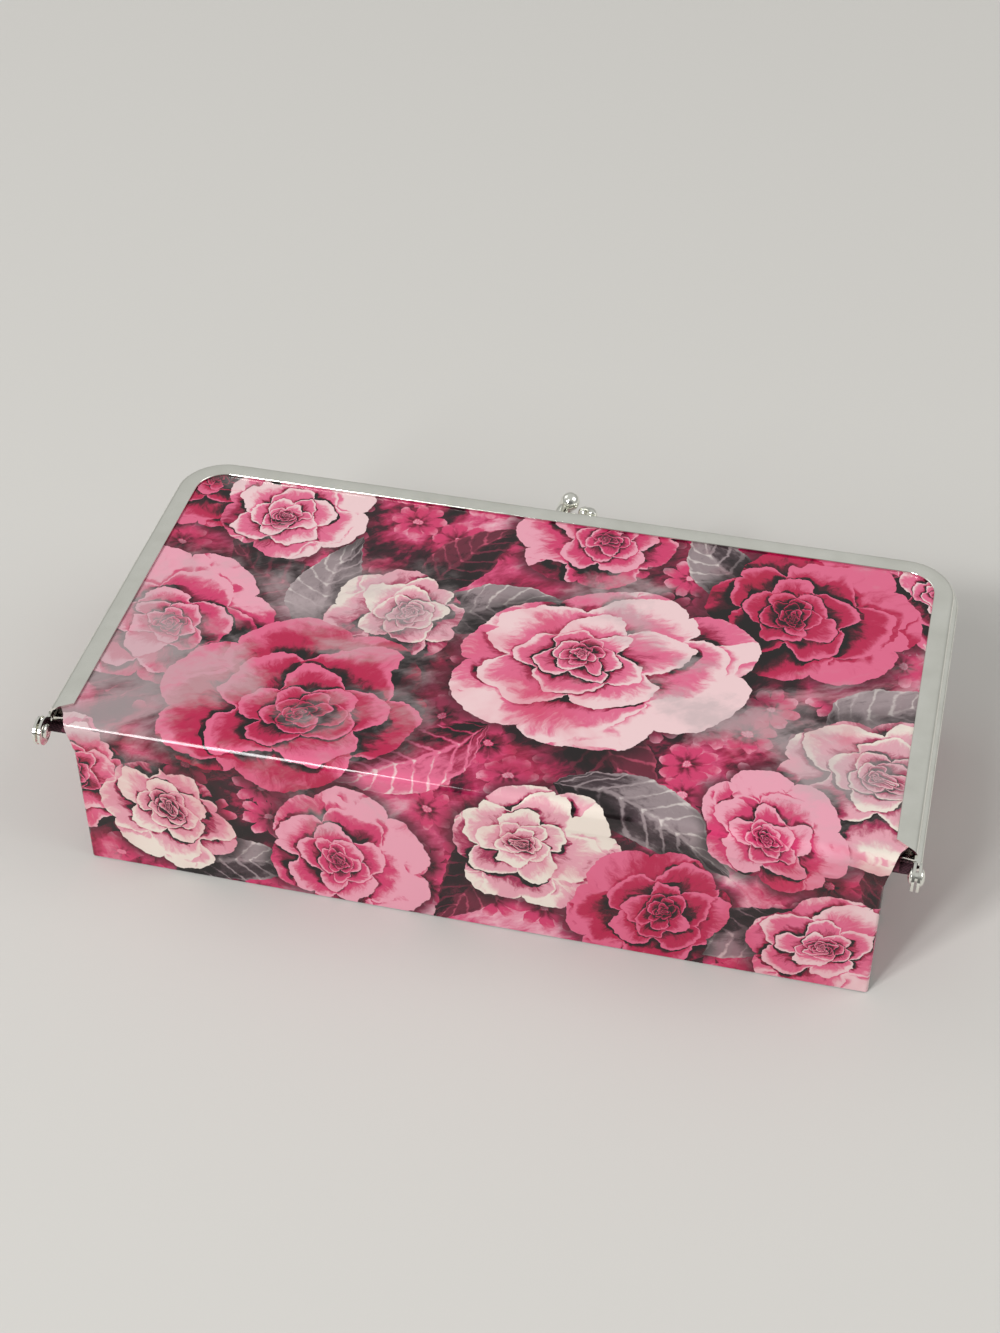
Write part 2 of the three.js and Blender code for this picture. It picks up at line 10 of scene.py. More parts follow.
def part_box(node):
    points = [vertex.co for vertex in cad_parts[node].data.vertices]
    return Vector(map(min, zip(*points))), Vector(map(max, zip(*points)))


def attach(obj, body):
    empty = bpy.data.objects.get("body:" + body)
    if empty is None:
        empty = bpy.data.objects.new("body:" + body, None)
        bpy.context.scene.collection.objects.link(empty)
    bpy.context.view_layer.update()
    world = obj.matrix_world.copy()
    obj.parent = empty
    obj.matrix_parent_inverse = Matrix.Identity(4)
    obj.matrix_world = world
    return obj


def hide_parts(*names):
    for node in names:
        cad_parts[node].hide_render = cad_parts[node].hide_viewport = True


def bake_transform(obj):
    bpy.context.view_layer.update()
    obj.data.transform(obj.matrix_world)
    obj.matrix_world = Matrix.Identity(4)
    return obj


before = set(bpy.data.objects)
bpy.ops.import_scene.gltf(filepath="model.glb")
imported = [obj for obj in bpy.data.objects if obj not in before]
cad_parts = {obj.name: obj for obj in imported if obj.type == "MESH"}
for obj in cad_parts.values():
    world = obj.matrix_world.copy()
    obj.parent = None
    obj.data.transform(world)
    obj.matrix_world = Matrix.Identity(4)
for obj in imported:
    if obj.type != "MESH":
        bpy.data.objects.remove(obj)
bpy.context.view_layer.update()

MM = 0.001

# Places taken from the solids, in metres
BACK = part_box("back_cover")[0].y
HALF_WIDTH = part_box("back_cover")[1].x
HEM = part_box("back_cover")[0].z
LID_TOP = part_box("lid_cover")[1].z
LID_REACH_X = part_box("lid_cover")[1].x
LID_REACH_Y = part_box("lid_cover")[1].y
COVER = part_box("back_cover")[1].y - BACK
FRONT = -BACK
RIVET_Y = (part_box("hinge_rivet_left")[0].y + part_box("hinge_rivet_left")[1].y) / 2
RIVET_Z = (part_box("hinge_rivet_left")[0].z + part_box("hinge_rivet_left")[1].z) / 2

# Sizes that the solids are built with
CORNER = 6.2 * MM
FRAME_SHEET = 0.6 * MM
FLANGE = 1.0 * MM
WELD = 0.0005 * MM


# Hand tools

def activate(piece):
    """Makes the piece the one that the operators work on."""
    bpy.ops.object.select_all(action="DESELECT")
    piece.select_set(True)
    bpy.context.view_layer.objects.active = piece


def begin_edit(piece):
    activate(piece)
    bpy.ops.object.mode_set(mode="EDIT")
    bpy.ops.mesh.select_mode(type="VERT")


def end_edit():
    bpy.ops.object.mode_set(mode="OBJECT")


def select_all():
    bpy.ops.mesh.select_all(action="SELECT")


def face_out():
    select_all()
    bpy.ops.mesh.normals_make_consistent(inside=False)


def round_off(offset, segments, affect="EDGES"):
    """Rounds the selected edges or corners."""
    bpy.ops.mesh.bevel(offset=offset, offset_type="OFFSET", segments=segments, profile=0.5, affect=affect)


def pick(piece, test, mode="VERT", pair=None):
    """Selects points, edges or faces whose points all pass the test, edges also by their pair of ends."""
    bpy.ops.mesh.select_mode(type=mode)
    bpy.ops.mesh.select_all(action="DESELECT")
    mesh = bmesh.from_edit_mesh(piece.data)
    if mode == "VERT":
        for point in mesh.verts:
            point.select_set(test(point.co))
    elif mode == "EDGE":
        for edge in mesh.edges:
            ends = [point.co for point in edge.verts]
            edge.select_set(all(map(test, ends)) and (pair is None or pair(*ends)))
    else:
        for face in mesh.faces:
            face.select_set(all(test(point.co) for point in face.verts))
    mesh.select_flush_mode()
    bmesh.update_edit_mesh(piece.data)


def near(a, b, slack=0.02 * MM):
    return abs(a - b) < slack


def runs_along(axis, height=None):
    """Test for edges that run along one axis, at any height or at this one."""
    def test(a, b):
        return all(near(a[i], b[i]) for i in range(3) if i != axis) and (height is None or near(a.z, height))

    return test


def begin_piece(name, adder, **settings):
    bpy.ops.object.select_all(action="DESELECT")
    adder(**settings)
    piece = bpy.context.object
    piece.name = name
    piece.data.name = name
    return piece


def begin_block(name, adder, size, centre):
    """Adds a plane or a cube of this size at this place, and opens it."""
    piece = begin_piece(name, adder, size=1)
    begin_edit(piece)
    select_all()
    bpy.ops.transform.resize(value=size)
    bpy.ops.transform.translate(value=centre)
    return piece


def push(value):
    bpy.ops.mesh.extrude_region_move(TRANSFORM_OT_translate={"value": value})


def cut_row(co, normal):
    select_all()
    bpy.ops.mesh.bisect(plane_co=co, plane_no=normal)


def use(piece, kind, **settings):
    """Adds a modifier to the piece and applies it."""
    activate(piece)
    modifier = piece.modifiers.new(kind.lower(), kind)
    for key, value in settings.items():
        setattr(modifier, key, value)
    bpy.ops.object.modifier_apply(modifier=modifier.name)


def smooth(piece, degrees):
    activate(piece)
    bpy.ops.object.shade_smooth_by_angle(angle=math.radians(degrees))


def dress(piece, material):
    piece.data.materials.clear()
    piece.data.materials.append(material)


def face_area(piece):
    return sum(face.area for face in piece.data.polygons)


def print_layer(piece):
    layer = piece.data.uv_layers.active or piece.data.uv_layers.new()
    layer.name = "print"
    return layer


def line_of_points(name, points, closed=False):
    """A row of points drawn by extruding one point from place to place."""
    piece = begin_piece(name, bpy.ops.mesh.primitive_plane_add, size=MM)
    begin_edit(piece)
    select_all()
    bpy.ops.mesh.merge(type="CENTER")
    bpy.ops.transform.translate(value=points[0])
    for before, after in zip(points, points[1:]):
        push(Vector(after) - Vector(before))
    if closed:
        first, last = Vector(points[0]), Vector(points[-1])
        pick(piece, lambda co: min((co - first).length, (co - last).length) < 0.001 * MM)
        bpy.ops.mesh.edge_face_add()
    select_all()
    return piece


def arc(centre_a, centre_b, radius, start, stop, steps):
    points = []
    for i in range(steps + 1):
        angle = math.radians(start + (stop - start) * i / steps)
        points.append((centre_a + radius * math.cos(angle), centre_b + radius * math.sin(angle)))
    return points


# Shader tools: each works in the node tree of the sockets that it is given

def linear(code):
    parts = [int(code[i:i + 2], 16) / 255 for i in (1, 3, 5)]
    return tuple(c / 12.92 if c <= 0.04045 else ((c + 0.055) / 1.055) ** 2.4 for c in parts) + (1.0,)


def tree_of(values):
    return next(value.id_data for value in values if isinstance(value, bpy.types.NodeSocket))


def feed(socket, value):
    if isinstance(value, bpy.types.NodeSocket):
        socket.id_data.links.new(value, socket)
    else:
        socket.default_value = value


def feed_all(sockets, values):
    for socket, value in zip(sockets, values):
        feed(socket, value)


def calc(operation, *values, clamp=False):
    node = tree_of(values).nodes.new("ShaderNodeMath")
    node.operation = operation
    node.use_clamp = clamp
    feed_all(node.inputs, values)
    return node.outputs[0]


def plus(a, b):
    return calc("ADD", a, b)


def minus(a, b):
    return calc("SUBTRACT", a, b)


def times(a, b):
    return calc("MULTIPLY", a, b)


def over(a, b):
    return calc("DIVIDE", a, b)


def scaled(value, factor, start):
    return calc("MULTIPLY_ADD", value, factor, start)


def vector_calc(operation, *values, scale=None):
    node = tree_of(values).nodes.new("ShaderNodeVectorMath")
    node.operation = operation
    feed_all(node.inputs, values)
    if scale is not None:
        feed(node.inputs["Scale"], scale)
    return node.outputs["Value" if operation in ("LENGTH", "DOT_PRODUCT") else "Vector"]


def mix(factor, a, b, kind="MIX"):
    node = tree_of((factor, a, b)).nodes.new("ShaderNodeMix")
    node.data_type = "RGBA"
    node.blend_type = kind
    feed_all((node.inputs[0], node.inputs[6], node.inputs[7]), (factor, a, b))
    return node.outputs[2]


def mix_vector(factor, a, b):
    node = factor.id_data.nodes.new("ShaderNodeMix")
    node.data_type = "VECTOR"
    feed_all((node.inputs[0], node.inputs[4], node.inputs[5]), (factor, a, b))
    return node.outputs[1]


def ease(value, low, high, out_low=0.0, out_high=1.0):
    node = value.id_data.nodes.new("ShaderNodeMapRange")
    node.interpolation_type = "SMOOTHSTEP"
    feed_all(node.inputs, (value, low, high, out_low, out_high))
    return node.outputs[0]


def noise(place, scale, detail=2.0, roughness=0.5, distortion=0.0):
    node = place.id_data.nodes.new("ShaderNodeTexNoise")
    look(node, Vector=place, Scale=scale, Detail=detail, Roughness=roughness, Distortion=distortion)
    return node.outputs["Fac"], node.outputs["Color"]


def ramp(value, stops, kind="LINEAR"):
    node = value.id_data.nodes.new("ShaderNodeValToRGB")
    node.color_ramp.interpolation = kind
    feed(node.inputs[0], value)
    points = node.color_ramp.elements
    while len(points) < len(stops):
        points.new(0.5)
    for point, (place, code) in zip(points, stops):
        point.position = place
        point.color = linear(code)
    return node.outputs[0]


def split(value, kind="XYZ"):
    node = value.id_data.nodes.new("ShaderNodeSeparate" + kind)
    feed(node.inputs[0], value)
    return node.outputs[0], node.outputs[1], node.outputs[2]


def join(x=0.0, y=0.0, z=0.0):
    node = tree_of((x, y, z)).nodes.new("ShaderNodeCombineXYZ")
    feed_all(node.inputs, (x, y, z))
    return node.outputs[0]


def look(node, **values):
    """Feeds the sockets of a node, named with underscores for spaces."""
    for label, value in values.items():
        feed(node.inputs[label.replace("_", " ")], value)


def new_group(name, inputs, outputs):
    tree = bpy.data.node_groups.new(name, "ShaderNodeTree")
    for label, kind in inputs:
        tree.interface.new_socket(label, in_out="INPUT", socket_type="NodeSocket" + kind)
    for label, kind in outputs:
        tree.interface.new_socket(label, in_out="OUTPUT", socket_type="NodeSocket" + kind)
    source = tree.nodes.new("NodeGroupInput")
    drain = tree.nodes.new("NodeGroupOutput")
    return tree, source.outputs, drain.inputs


def place_group(group, **values):
    node = tree_of(values.values()).nodes.new("ShaderNodeGroup")
    node.node_tree = group
    look(node, **values)
    return node.outputs


def new_material(name):
    material = bpy.data.materials.new(name)
    material.use_nodes = True
    tree = material.node_tree
    return material, tree, tree.nodes["Principled BSDF"]


def bump(height, distance, strength):
    node = height.id_data.nodes.new("ShaderNodeBump")
    look(node, Strength=strength, Distance=distance, Height=height)
    return node.outputs[0]


def object_place(tree):
    return tree.nodes.new("ShaderNodeTexCoord").outputs["Object"]


# The print: double blooms turned to all sides, veined leaves, daisies and brushed washes

def scatter(place, scale, detail, amount):
    """Place shifted by a painter's uneven hand."""
    red, green = split(noise(place, scale, detail)[1], "Color")[:2]
    shift = join(minus(red, 0.5), minus(green, 0.5), 0.0)
    return vector_calc("ADD", place, vector_calc("SCALE", shift, scale=amount))


def turned(x, y, angle):
    """The two distances along axes turned by an angle."""
    cosine, sine = calc("COSINE", angle), calc("SINE", angle)
    along = scaled(x, cosine, times(y, sine))
    aside = minus(times(y, cosine), times(x, sine))
    return along, aside


def bloom_axes(x, y, size, turn):
    """Place in a bloom's own axes, in shares of its size, drawn out on the side that is seen aslant."""
    along, aside = turned(x, y, times(turn, math.tau))
    slant = scaled(calc("FRACT", times(turn, 7.3)), 0.26, 0.74)
    return over(along, size), over(aside, times(size, slant))


def lay_bloom():
    """Lays one more bloom over the others: its place inside its scalloped outline, and a shadow outside."""
    tree, source, drain = new_group(
        "lay_bloom",
        [("X", "Float"), ("Y", "Float"), ("Where", "Vector"), ("What", "Vector"), ("Shade", "Float"),
         ("New Where", "Vector"), ("New What", "Vector")],
        [("Where", "Vector"), ("What", "Vector"), ("Shade", "Float")])
    across, up, size = split(source["New Where"])
    turn = split(source["New What"])[0]
    x = minus(source["X"], across)
    y = minus(source["Y"], up)
    along, aside = bloom_axes(x, y, size, turn)
    far = vector_calc("LENGTH", join(along, aside))
    angle = scaled(calc("ARCTAN2", aside, along), 3.0, times(turn, 7.0))
    lobes = calc("POWER", calc("ABSOLUTE", calc("SINE", angle)), 0.5)
    share = over(far, scaled(lobes, 0.17, 0.87))
    front = calc("LESS_THAN", share, 1.0)
    feed(drain["Where"], mix_vector(front, source["Where"], source["New Where"]))
    feed(drain["What"], mix_vector(front, source["What"], source["New What"]))
    under = times(source["Shade"], ease(share, 0.98, 1.24, 0.05, 1.0))
    feed(drain["Shade"], calc("MAXIMUM", front, under))
    return tree


def painted_bloom():
    """Tone of a double bloom: rows of petals on a spiral, dark at the foot and pale at the rim."""
    tree, source, drain = new_group(
        "painted_bloom", [("Place", "Vector"), ("Where", "Vector"), ("What", "Vector")], [("Tone", "Float")])
    across, up, size = split(source["Where"])
    turn, _, seed = split(source["What"])
    size = calc("MAXIMUM", size, 0.001)
    x, y, _ = split(source["Place"])
    along, aside = bloom_axes(minus(x, across), minus(y, up), size, turn)
    shares = join(minus(along, 0.1), plus(aside, 0.16), seed)
    shares = scatter(shares, 1.9, 2.0, 0.42)
    shares = scatter(shares, 9.0, 2.0, 0.05)
    x, y, _ = split(shares)
    radius = vector_calc("LENGTH", join(x, y))
    around = plus(over(calc("ARCTAN2", y, x), math.tau), turn)
    rows = plus(times(calc("LOGARITHM", radius, math.e), 2.4), around)
    petals = times(around, 4.62)

    def row_of_petals(row):
        angle = plus(petals, times(row, 0.38))
        side = calc("ABSOLUTE", minus(calc("FRACT", angle), 0.5))
        side = times(side, 2.0)
        rim = times(minus(1.0, calc("POWER", side, 2.2)), 0.92)
        return angle, side, rim

    row = calc("FLOOR", rows)
    rest = minus(rows, row)
    rim = row_of_petals(row)[2]
    inside = calc("LESS_THAN", rest, rim)
    top_row = minus(plus(row, 1.0), inside)
    top_row = calc("MINIMUM", top_row, 0.0)
    angle, side, rim_here = row_of_petals(top_row)
    foot = plus(minus(rows, top_row), 1.0)
    along = calc("DIVIDE", foot, plus(rim_here, 1.0), clamp=True)
    past_rim = calc("MAXIMUM", minus(rest, rim), inside)
    crease = ease(past_rim, 0.0, 0.45, 0.62, 0.0)

    petal_number = join(calc("FLOOR", angle), top_row, seed)
    chance = tree.nodes.new("ShaderNodeTexWhiteNoise")
    chance.noise_dimensions = "3D"
    feed(chance.inputs["Vector"], petal_number)
    streaks = join(times(angle, 7.0), times(rows, 0.7), seed)
    strokes = noise(streaks, 2.4, 5.0, 0.72)[0]
    blots = noise(shares, 2.6, 3.0, 0.55)[0]
    crease = times(crease, ease(blots, 0.36, 0.6, 1.15, 0.15))
    tone = plus(calc("POWER", along, 1.4), 0.06)
    for part, amount in ((chance.outputs[0], 0.5), (strokes, 1.0), (blots, 0.9)):
        tone = scaled(minus(part, 0.5), amount, tone)
    tone = plus(tone, ease(along, 0.84, 0.97, 0.0, 0.3))
    tone = minus(tone, times(calc("POWER", side, 3.0), 0.2))
    tone = minus(tone, crease)
    tone = minus(tone, ease(top_row, -5.0, -2.0, 0.5, 0.0))
    feed(drain["Tone"], tone)
    return tree


def lay_leaf():
    """Lays one more leaf: its own place (along, across, seed) and its tones inside its pointed outline."""
    tree, source, drain = new_group(
        "lay_leaf",
        [("X", "Float"), ("Y", "Float"), ("Own Place", "Vector"), ("What", "Vector"),
         ("New Where", "Vector"), ("New What", "Vector")],
        [("Own Place", "Vector"), ("What", "Vector")])
    across, up, size = split(source["New Where"])
    turn, _, seed = split(source["New What"])
    x = over(minus(source["X"], across), size)
    y = over(minus(source["Y"], up), size)
    along, wide = turned(x, y, turn)
    wide = plus(wide, times(times(along, along), 0.25))
    room = calc("MAXIMUM", minus(1.0, times(along, along)), 0.0)
    half = times(room, scaled(along, -0.12, 0.4))
    edge = over(wide, calc("MAXIMUM", half, 0.0005))
    front = calc("LESS_THAN", calc("ABSOLUTE", edge), 1.0)
    new_place = join(along, edge, seed)
    feed(drain["Own Place"], mix_vector(front, source["Own Place"], new_place))
    feed(drain["What"], mix_vector(front, source["What"], source["New What"]))
    return tree


def painted_leaf():
    """Tone of a leaf with a pale rib, slanting veins, one half in the light and brushed streaks."""
    tree, source, drain = new_group("painted_leaf", [("Own Place", "Vector")], [("Tone", "Float")])
    along, wide, seed = split(source["Own Place"])
    edge = calc("ABSOLUTE", wide)
    slanted = minus(along, times(edge, 0.3))
    vein = calc("FRACT", times(slanted, 4.5))
    vein = calc("ABSOLUTE", minus(vein, 0.5))
    streaks = noise(join(along, times(wide, 0.7), seed), 4.0, 4.0, 0.7)[0]
    tone = scaled(streaks, 1.1, ease(wide, -0.5, 0.4, -0.3, 0.1))
    tone = plus(tone, ease(vein, 0.0, 0.16, 0.3, -0.1))
    tone = plus(tone, ease(edge, 0.0, 0.12, 0.4, 0.0))
    tone = plus(tone, ease(edge, 0.84, 0.96, 0.0, 0.25))
    feed(drain["Tone"], minus(tone, ease(along, -1.0, 0.2, 0.5, 0.05)))
    return tree


def daisy_field():
    """Tone and cover of daisies that stand close together."""
    tree, source, drain = new_group(
        "daisy_field", [("Place", "Vector"), ("Size", "Float")], [("Tone", "Float"), ("Cover", "Float")])
    shares = vector_calc("SCALE", source["Place"], scale=over(1.0, source["Size"]))
    shares = scatter(shares, 2.0, 2.0, 0.16)
    cells = tree.nodes.new("ShaderNodeTexVoronoi")
    cells.voronoi_dimensions = "2D"
    cells.inputs["Scale"].default_value = 1.0
    cells.inputs["Randomness"].default_value = 0.7
    feed(cells.inputs["Vector"], shares)
    x, y, _ = split(vector_calc("SUBTRACT", shares, cells.outputs["Position"]))
    pick_r, pick_g, _ = split(cells.outputs["Color"], "Color")
    radius = vector_calc("LENGTH", join(x, y))
    around = plus(calc("ARCTAN2", y, x), times(pick_g, 6.0))
    lobes = calc("ABSOLUTE", calc("COSINE", times(around, 4.0)))
    rim = scaled(calc("POWER", lobes, 0.5), 0.3, 0.22)
    along = over(radius, rim)
    brushed = noise(shares, 6.0, 3.0, 0.6)[0]
    tone = scaled(along, 0.8, times(brushed, 0.7))
    tone = plus(minus(tone, 0.5), times(pick_r, 0.35))
    tone = minus(tone, times(minus(1.0, lobes), 0.4))
    tone = plus(tone, ease(radius, 0.06, 0.09, 0.9, 0.0))
    feed(drain["Tone"], tone)
    feed(drain["Cover"], calc("LESS_THAN", along, 1.0))
    return tree


# Six sets of tones, pale to deep, and the near black under them all
TONES = [
    ("#ebccd3", "#dc6890", "#9c1746"), ("#e6a0b7", "#cc386c", "#760d34"), ("#db668d", "#b4174b", "#46091d"),
    ("#e9dfd8", "#dfa0b2", "#a82f5a"), ("#cdc4c5", "#93858b", "#42333a"), ("#b54a68", "#661e35", "#200b13"),
]
BLUSH, ROSE, CRIMSON, CREAM, SMOKE, WINE = range(6)
INK = "#10070a"


def tone_colours():
    """Colour from a tone and the number of a set of tones."""
    tree, source, drain = new_group(
        "tone_colours", [("Tone", "Float"), ("Set", "Float")], [("Colour", "Color")])
    share = over(plus(source["Set"], 0.5), len(TONES))
    pale, mid, deep = [
        ramp(share, [(i / len(TONES), tones[level]) for i, tones in enumerate(TONES)], "CONSTANT")
        for level in range(3)]
    colour = mix(ease(source["Tone"], -0.22, 0.13), linear(INK), deep)
    colour = mix(ease(source["Tone"], 0.08, 0.45), colour, mid)
    feed(drain["Colour"], mix(ease(source["Tone"], 0.56, 1.06), colour, pale))
    return tree


# Leaves: centre across and up from the crease and half length in mm, turn in degrees, tones
LEAVES = [
    (-63, 60, 21, 150, WINE), (-50, 58, 22, 95, SMOKE), (-20, 79, 19, 60, WINE), (-8, 62, 20, 20, SMOKE),
    (43, 88, 20, 130, SMOKE), (52, 63, 19, 80, WINE), (86, 44, 21, 40, SMOKE), (30, 16, 24, 300, WINE),
    (41, 2, 23, 335, SMOKE), (-14, 5, 21, 215, BLUSH), (-88, 20, 20, 170, WINE), (-54, -34, 18, 10, SMOKE),
    (2, -27, 20, 250, WINE), (60, -31, 19, 200, SMOKE), (96, -4, 18, 70, WINE), (-98, -30, 15, 60, SMOKE),
    (131, -26, 19, 20, SMOKE), (160, 4, 18, 140, WINE), (185, -26, 18, 200, SMOKE),
    (-111, -26, 18, 30, SMOKE), (-139, 6, 18, 150, WINE), (-163, -28, 17, 10, SMOKE),
]
# Blooms: centre across and up from the crease and size in mm, share of a turn, tones
BLOOMS = [
    (-90, 92, 17, 0.4, CRIMSON), (10, 94, 20, 0.12, ROSE), (95, 86, 18, 0.3, BLUSH),
    (-66, 88, 19, 0.82, BLUSH), (67, 76, 25, 0.68, CRIMSON), (-31, 53, 17, 0.25, CREAM),
    (-85, 42, 26, 0.93, ROSE), (22, 46, 36, 0.55, BLUSH), (92, 20, 27, 0.47, CREAM),
    (-46, 19, 31, 0.07, CRIMSON), (-97, -16, 19, 0.2, BLUSH), (68, 3, 18, 0.86, ROSE),
    (16, -14, 20, 0.62, CREAM), (-72, -24, 17, 0.35, CREAM), (-28, -27, 21, 0.77, ROSE),
    (42, -28, 21, 0.16, CRIMSON), (84, -31, 20, 0.58, BLUSH), (118, -14, 21, 0.44, ROSE),
    (146, -8, 19, 0.9, CREAM), (172, -17, 22, 0.27, CRIMSON), (197, -6, 17, 0.7, BLUSH),
    (-126, -8, 21, 0.52, CREAM), (-151, -18, 20, 0.05, CRIMSON), (-174, -5, 18, 0.38, ROSE),
]
# First seed of the leaves and of the blooms, and the step from each to the next
LEAF_SEEDS = (40.0, 2.3)
BLOOM_SEEDS = (5.0, 3.7)
BRUSH_TURN = 0.6


def seed_of(seeds, number):
    return seeds[0] + number * seeds[1]


def painted_flowers():
    """The whole print in the flat: colour from a place on the sheet."""
    tree, source, drain = new_group("painted_flowers", [("Place", "Vector")], [("Colour", "Color")])
    colours = tone_colours()
    place = scatter(source["Place"], 420.0, 6.0, 0.0019)

    x, y, _ = split(place)
    cosine, sine = math.cos(BRUSH_TURN), math.sin(BRUSH_TURN)
    along = scaled(x, cosine, times(y, sine))
    aside = minus(times(y, cosine), times(x, sine))
    brushed = join(times(along, 0.35), aside, 0.0)
    wash = noise(place, 24.0, 5.0, 0.62, 1.2)[0]
    dabs = noise(brushed, 130.0, 5.0, 0.7, 0.4)[0]
    level = scaled(minus(dabs, 0.5), 0.5, wash)
    colour = ramp(level, [
        (0.32, INK), (0.4, "#3f0b21"), (0.47, "#a01b4b"),
        (0.55, "#cf4a7a"), (0.65, "#e4a3b9"), (0.76, "#ebdfde"),
    ])

    cluster = noise(vector_calc("ADD", place, (0.31, 0.9, 0.0)), 17.0, 2.0)[0]
    flowers = place_group(daisy_field(), Place=place, Size=0.0135)
    where = times(flowers["Cover"], ease(cluster, 0.45, 0.49))
    colour = mix(where, colour, place_group(colours, Tone=flowers["Tone"], Set=ROSE)["Colour"])

    x, y, _ = split(scatter(place, 60.0, 2.0, 0.006))
    own, what = (0.0, 0.0, 0.0), (0.0, 0.0, -1.0)
    group = lay_leaf()
    for number, (across, up, size, turn, tones) in enumerate(LEAVES):
        made = place_group(group, X=x, Y=y, Own_Place=own, What=what,
                           New_Where=(across * MM, up * MM, size * MM),
                           New_What=(math.radians(turn), tones, seed_of(LEAF_SEEDS, number)))
        own, what = made["Own Place"], made["What"]
    _, tones, seed = split(what)
    tone = place_group(painted_leaf(), Own_Place=own)["Tone"]
    leaf = place_group(colours, Tone=tone, Set=tones)["Colour"]
    colour = mix(calc("GREATER_THAN", seed, 0.0), colour, leaf)

    where, what, shade = (0.0, 0.0, 0.001), (0.0, 0.0, -1.0), 1.0
    group = lay_bloom()
    for number, (across, up, size, turn, tones) in enumerate(BLOOMS):
        made = place_group(group, X=x, Y=y, Where=where, What=what, Shade=shade,
                           New_Where=(across * MM, up * MM, size * MM),
                           New_What=(turn, tones, seed_of(BLOOM_SEEDS, number)))
        where, what, shade = made["Where"], made["What"], made["Shade"]
    _, tones, seed = split(what)
    tone = place_group(painted_bloom(), Place=place, Where=where, What=what)["Tone"]
    tone = minus(tone, times(minus(1.0, shade), 0.8))
    bloom = place_group(colours, Tone=tone, Set=tones)["Colour"]
    under = mix(times(minus(1.0, shade), 0.85), colour, linear(INK))
    colour = mix(calc("GREATER_THAN", seed, 0.0), under, bloom)

    glaze = noise(vector_calc("ADD", place, (0.11, 0.53, 0.0)), 16.0, 5.0, 0.6, 1.0)[0]
    colour = mix(ease(glaze, 0.52, 0.68, 0.0, 0.6), colour, linear("#e86f9b"), "MULTIPLY")
    mist = noise(vector_calc("ADD", place, (0.7, 0.2, 0.0)), 14.0, 5.0, 0.62, 0.8)[0]
    mist = scaled(minus(dabs, 0.5), 0.25, mist)
    colour = mix(ease(mist, 0.53, 0.67, 0.0, 0.62), colour, linear("#bbacb2"))
    feed(drain["Colour"], mix(1.0, colour, linear("#f4f1ec"), "MULTIPLY"))
    return tree


def printed_patent():
    material, tree, shader = new_material("printed_patent")
    source = tree.nodes.new("ShaderNodeUVMap")
    source.uv_map = "print"
    made = place_group(painted_flowers(), Place=source.outputs[0])
    place = object_place(tree)
    waves = noise(place, 55.0, 2.0)[0]
    touch = noise(place, 240.0, 3.0)[0]
    look(shader, Base_Color=made["Colour"], Normal=bump(waves, 0.25 * MM, 0.35),
         Roughness=ease(touch, 0.2, 0.8, 0.05, 0.13), Specular_IOR_Level=0.42,
         Coat_Weight=0.12, Coat_Roughness=0.03)
    return material


def polished_metal():
    material, tree, shader = new_material("polished_metal")
    place = object_place(tree)
    clouds = noise(place, 120.0, 3.0)[0]
    look(shader, Base_Color=ramp(clouds, [(0.3, "#ebebe3"), (0.7, "#f6f6ef")]), Metallic=1.0,
         Roughness=ease(clouds, 0.25, 0.75, 0.05, 0.11),
         Normal=bump(noise(place, 90.0, 2.0)[0], 0.05 * MM, 0.4))
    return material


def suede(name, dark, light):
    material, tree, shader = new_material(name)
    place = object_place(tree)
    nap = noise(place, 1600.0, 3.0, 0.7)[0]
    brushed = noise(place, 60.0, 3.0, 0.6, 0.8)[0]
    level = plus(times(nap, 0.5), times(brushed, 0.5))
    look(shader, Base_Color=ramp(level, [(0.32, dark), (0.68, light)]),
         Roughness=ease(nap, 0.2, 0.8, 0.82, 0.98), Normal=bump(nap, 0.12 * MM, 0.7),
         Sheen_Weight=0.35, Sheen_Roughness=0.4)
    return material


def pressed_paper(name, dark, light, grain, relief=None):
    """Board or cord of paper fibres."""
    material, tree, shader = new_material(name)
    fibres = noise(object_place(tree), *grain)[0]
    look(shader, Base_Color=ramp(fibres, [(0.3, dark), (0.7, light)]),
         Roughness=ease(fibres, 0.2, 0.8, 0.85, 0.97))
    if relief:
        look(shader, Normal=bump(fibres, relief, 0.6))
    return material


def grained_base():
    material, tree, shader = new_material("grained_base")
    cells = tree.nodes.new("ShaderNodeTexVoronoi")
    cells.feature = "DISTANCE_TO_EDGE"
    cells.inputs["Scale"].default_value = 900.0
    feed(cells.inputs["Vector"], object_place(tree))
    grain = ease(cells.outputs["Distance"], 0.0, 0.2)
    look(shader, Base_Color=ramp(grain, [(0.0, "#171214"), (1.0, "#2d2528")]),
         Roughness=ease(grain, 0.0, 1.0, 0.65, 0.45), Normal=bump(grain, 0.06 * MM, 0.6))
    return material


def backing_cloth():
    """Dark knitted backing of the patent sheet."""
    material, tree, shader = new_material("backing_cloth")
    x, y, z = split(object_place(tree))
    stitches = 7000.0
    rows = calc("SINE", times(x, stitches))
    columns = calc("SINE", times(plus(y, z), stitches))
    knit = ease(times(rows, columns), -1.0, 1.0)
    look(shader, Base_Color=ramp(knit, [(0.0, "#241017"), (1.0, "#4a2230")]),
         Roughness=ease(knit, 0.0, 1.0, 0.97, 0.85), Normal=bump(knit, 0.06 * MM, 0.5))
    return material


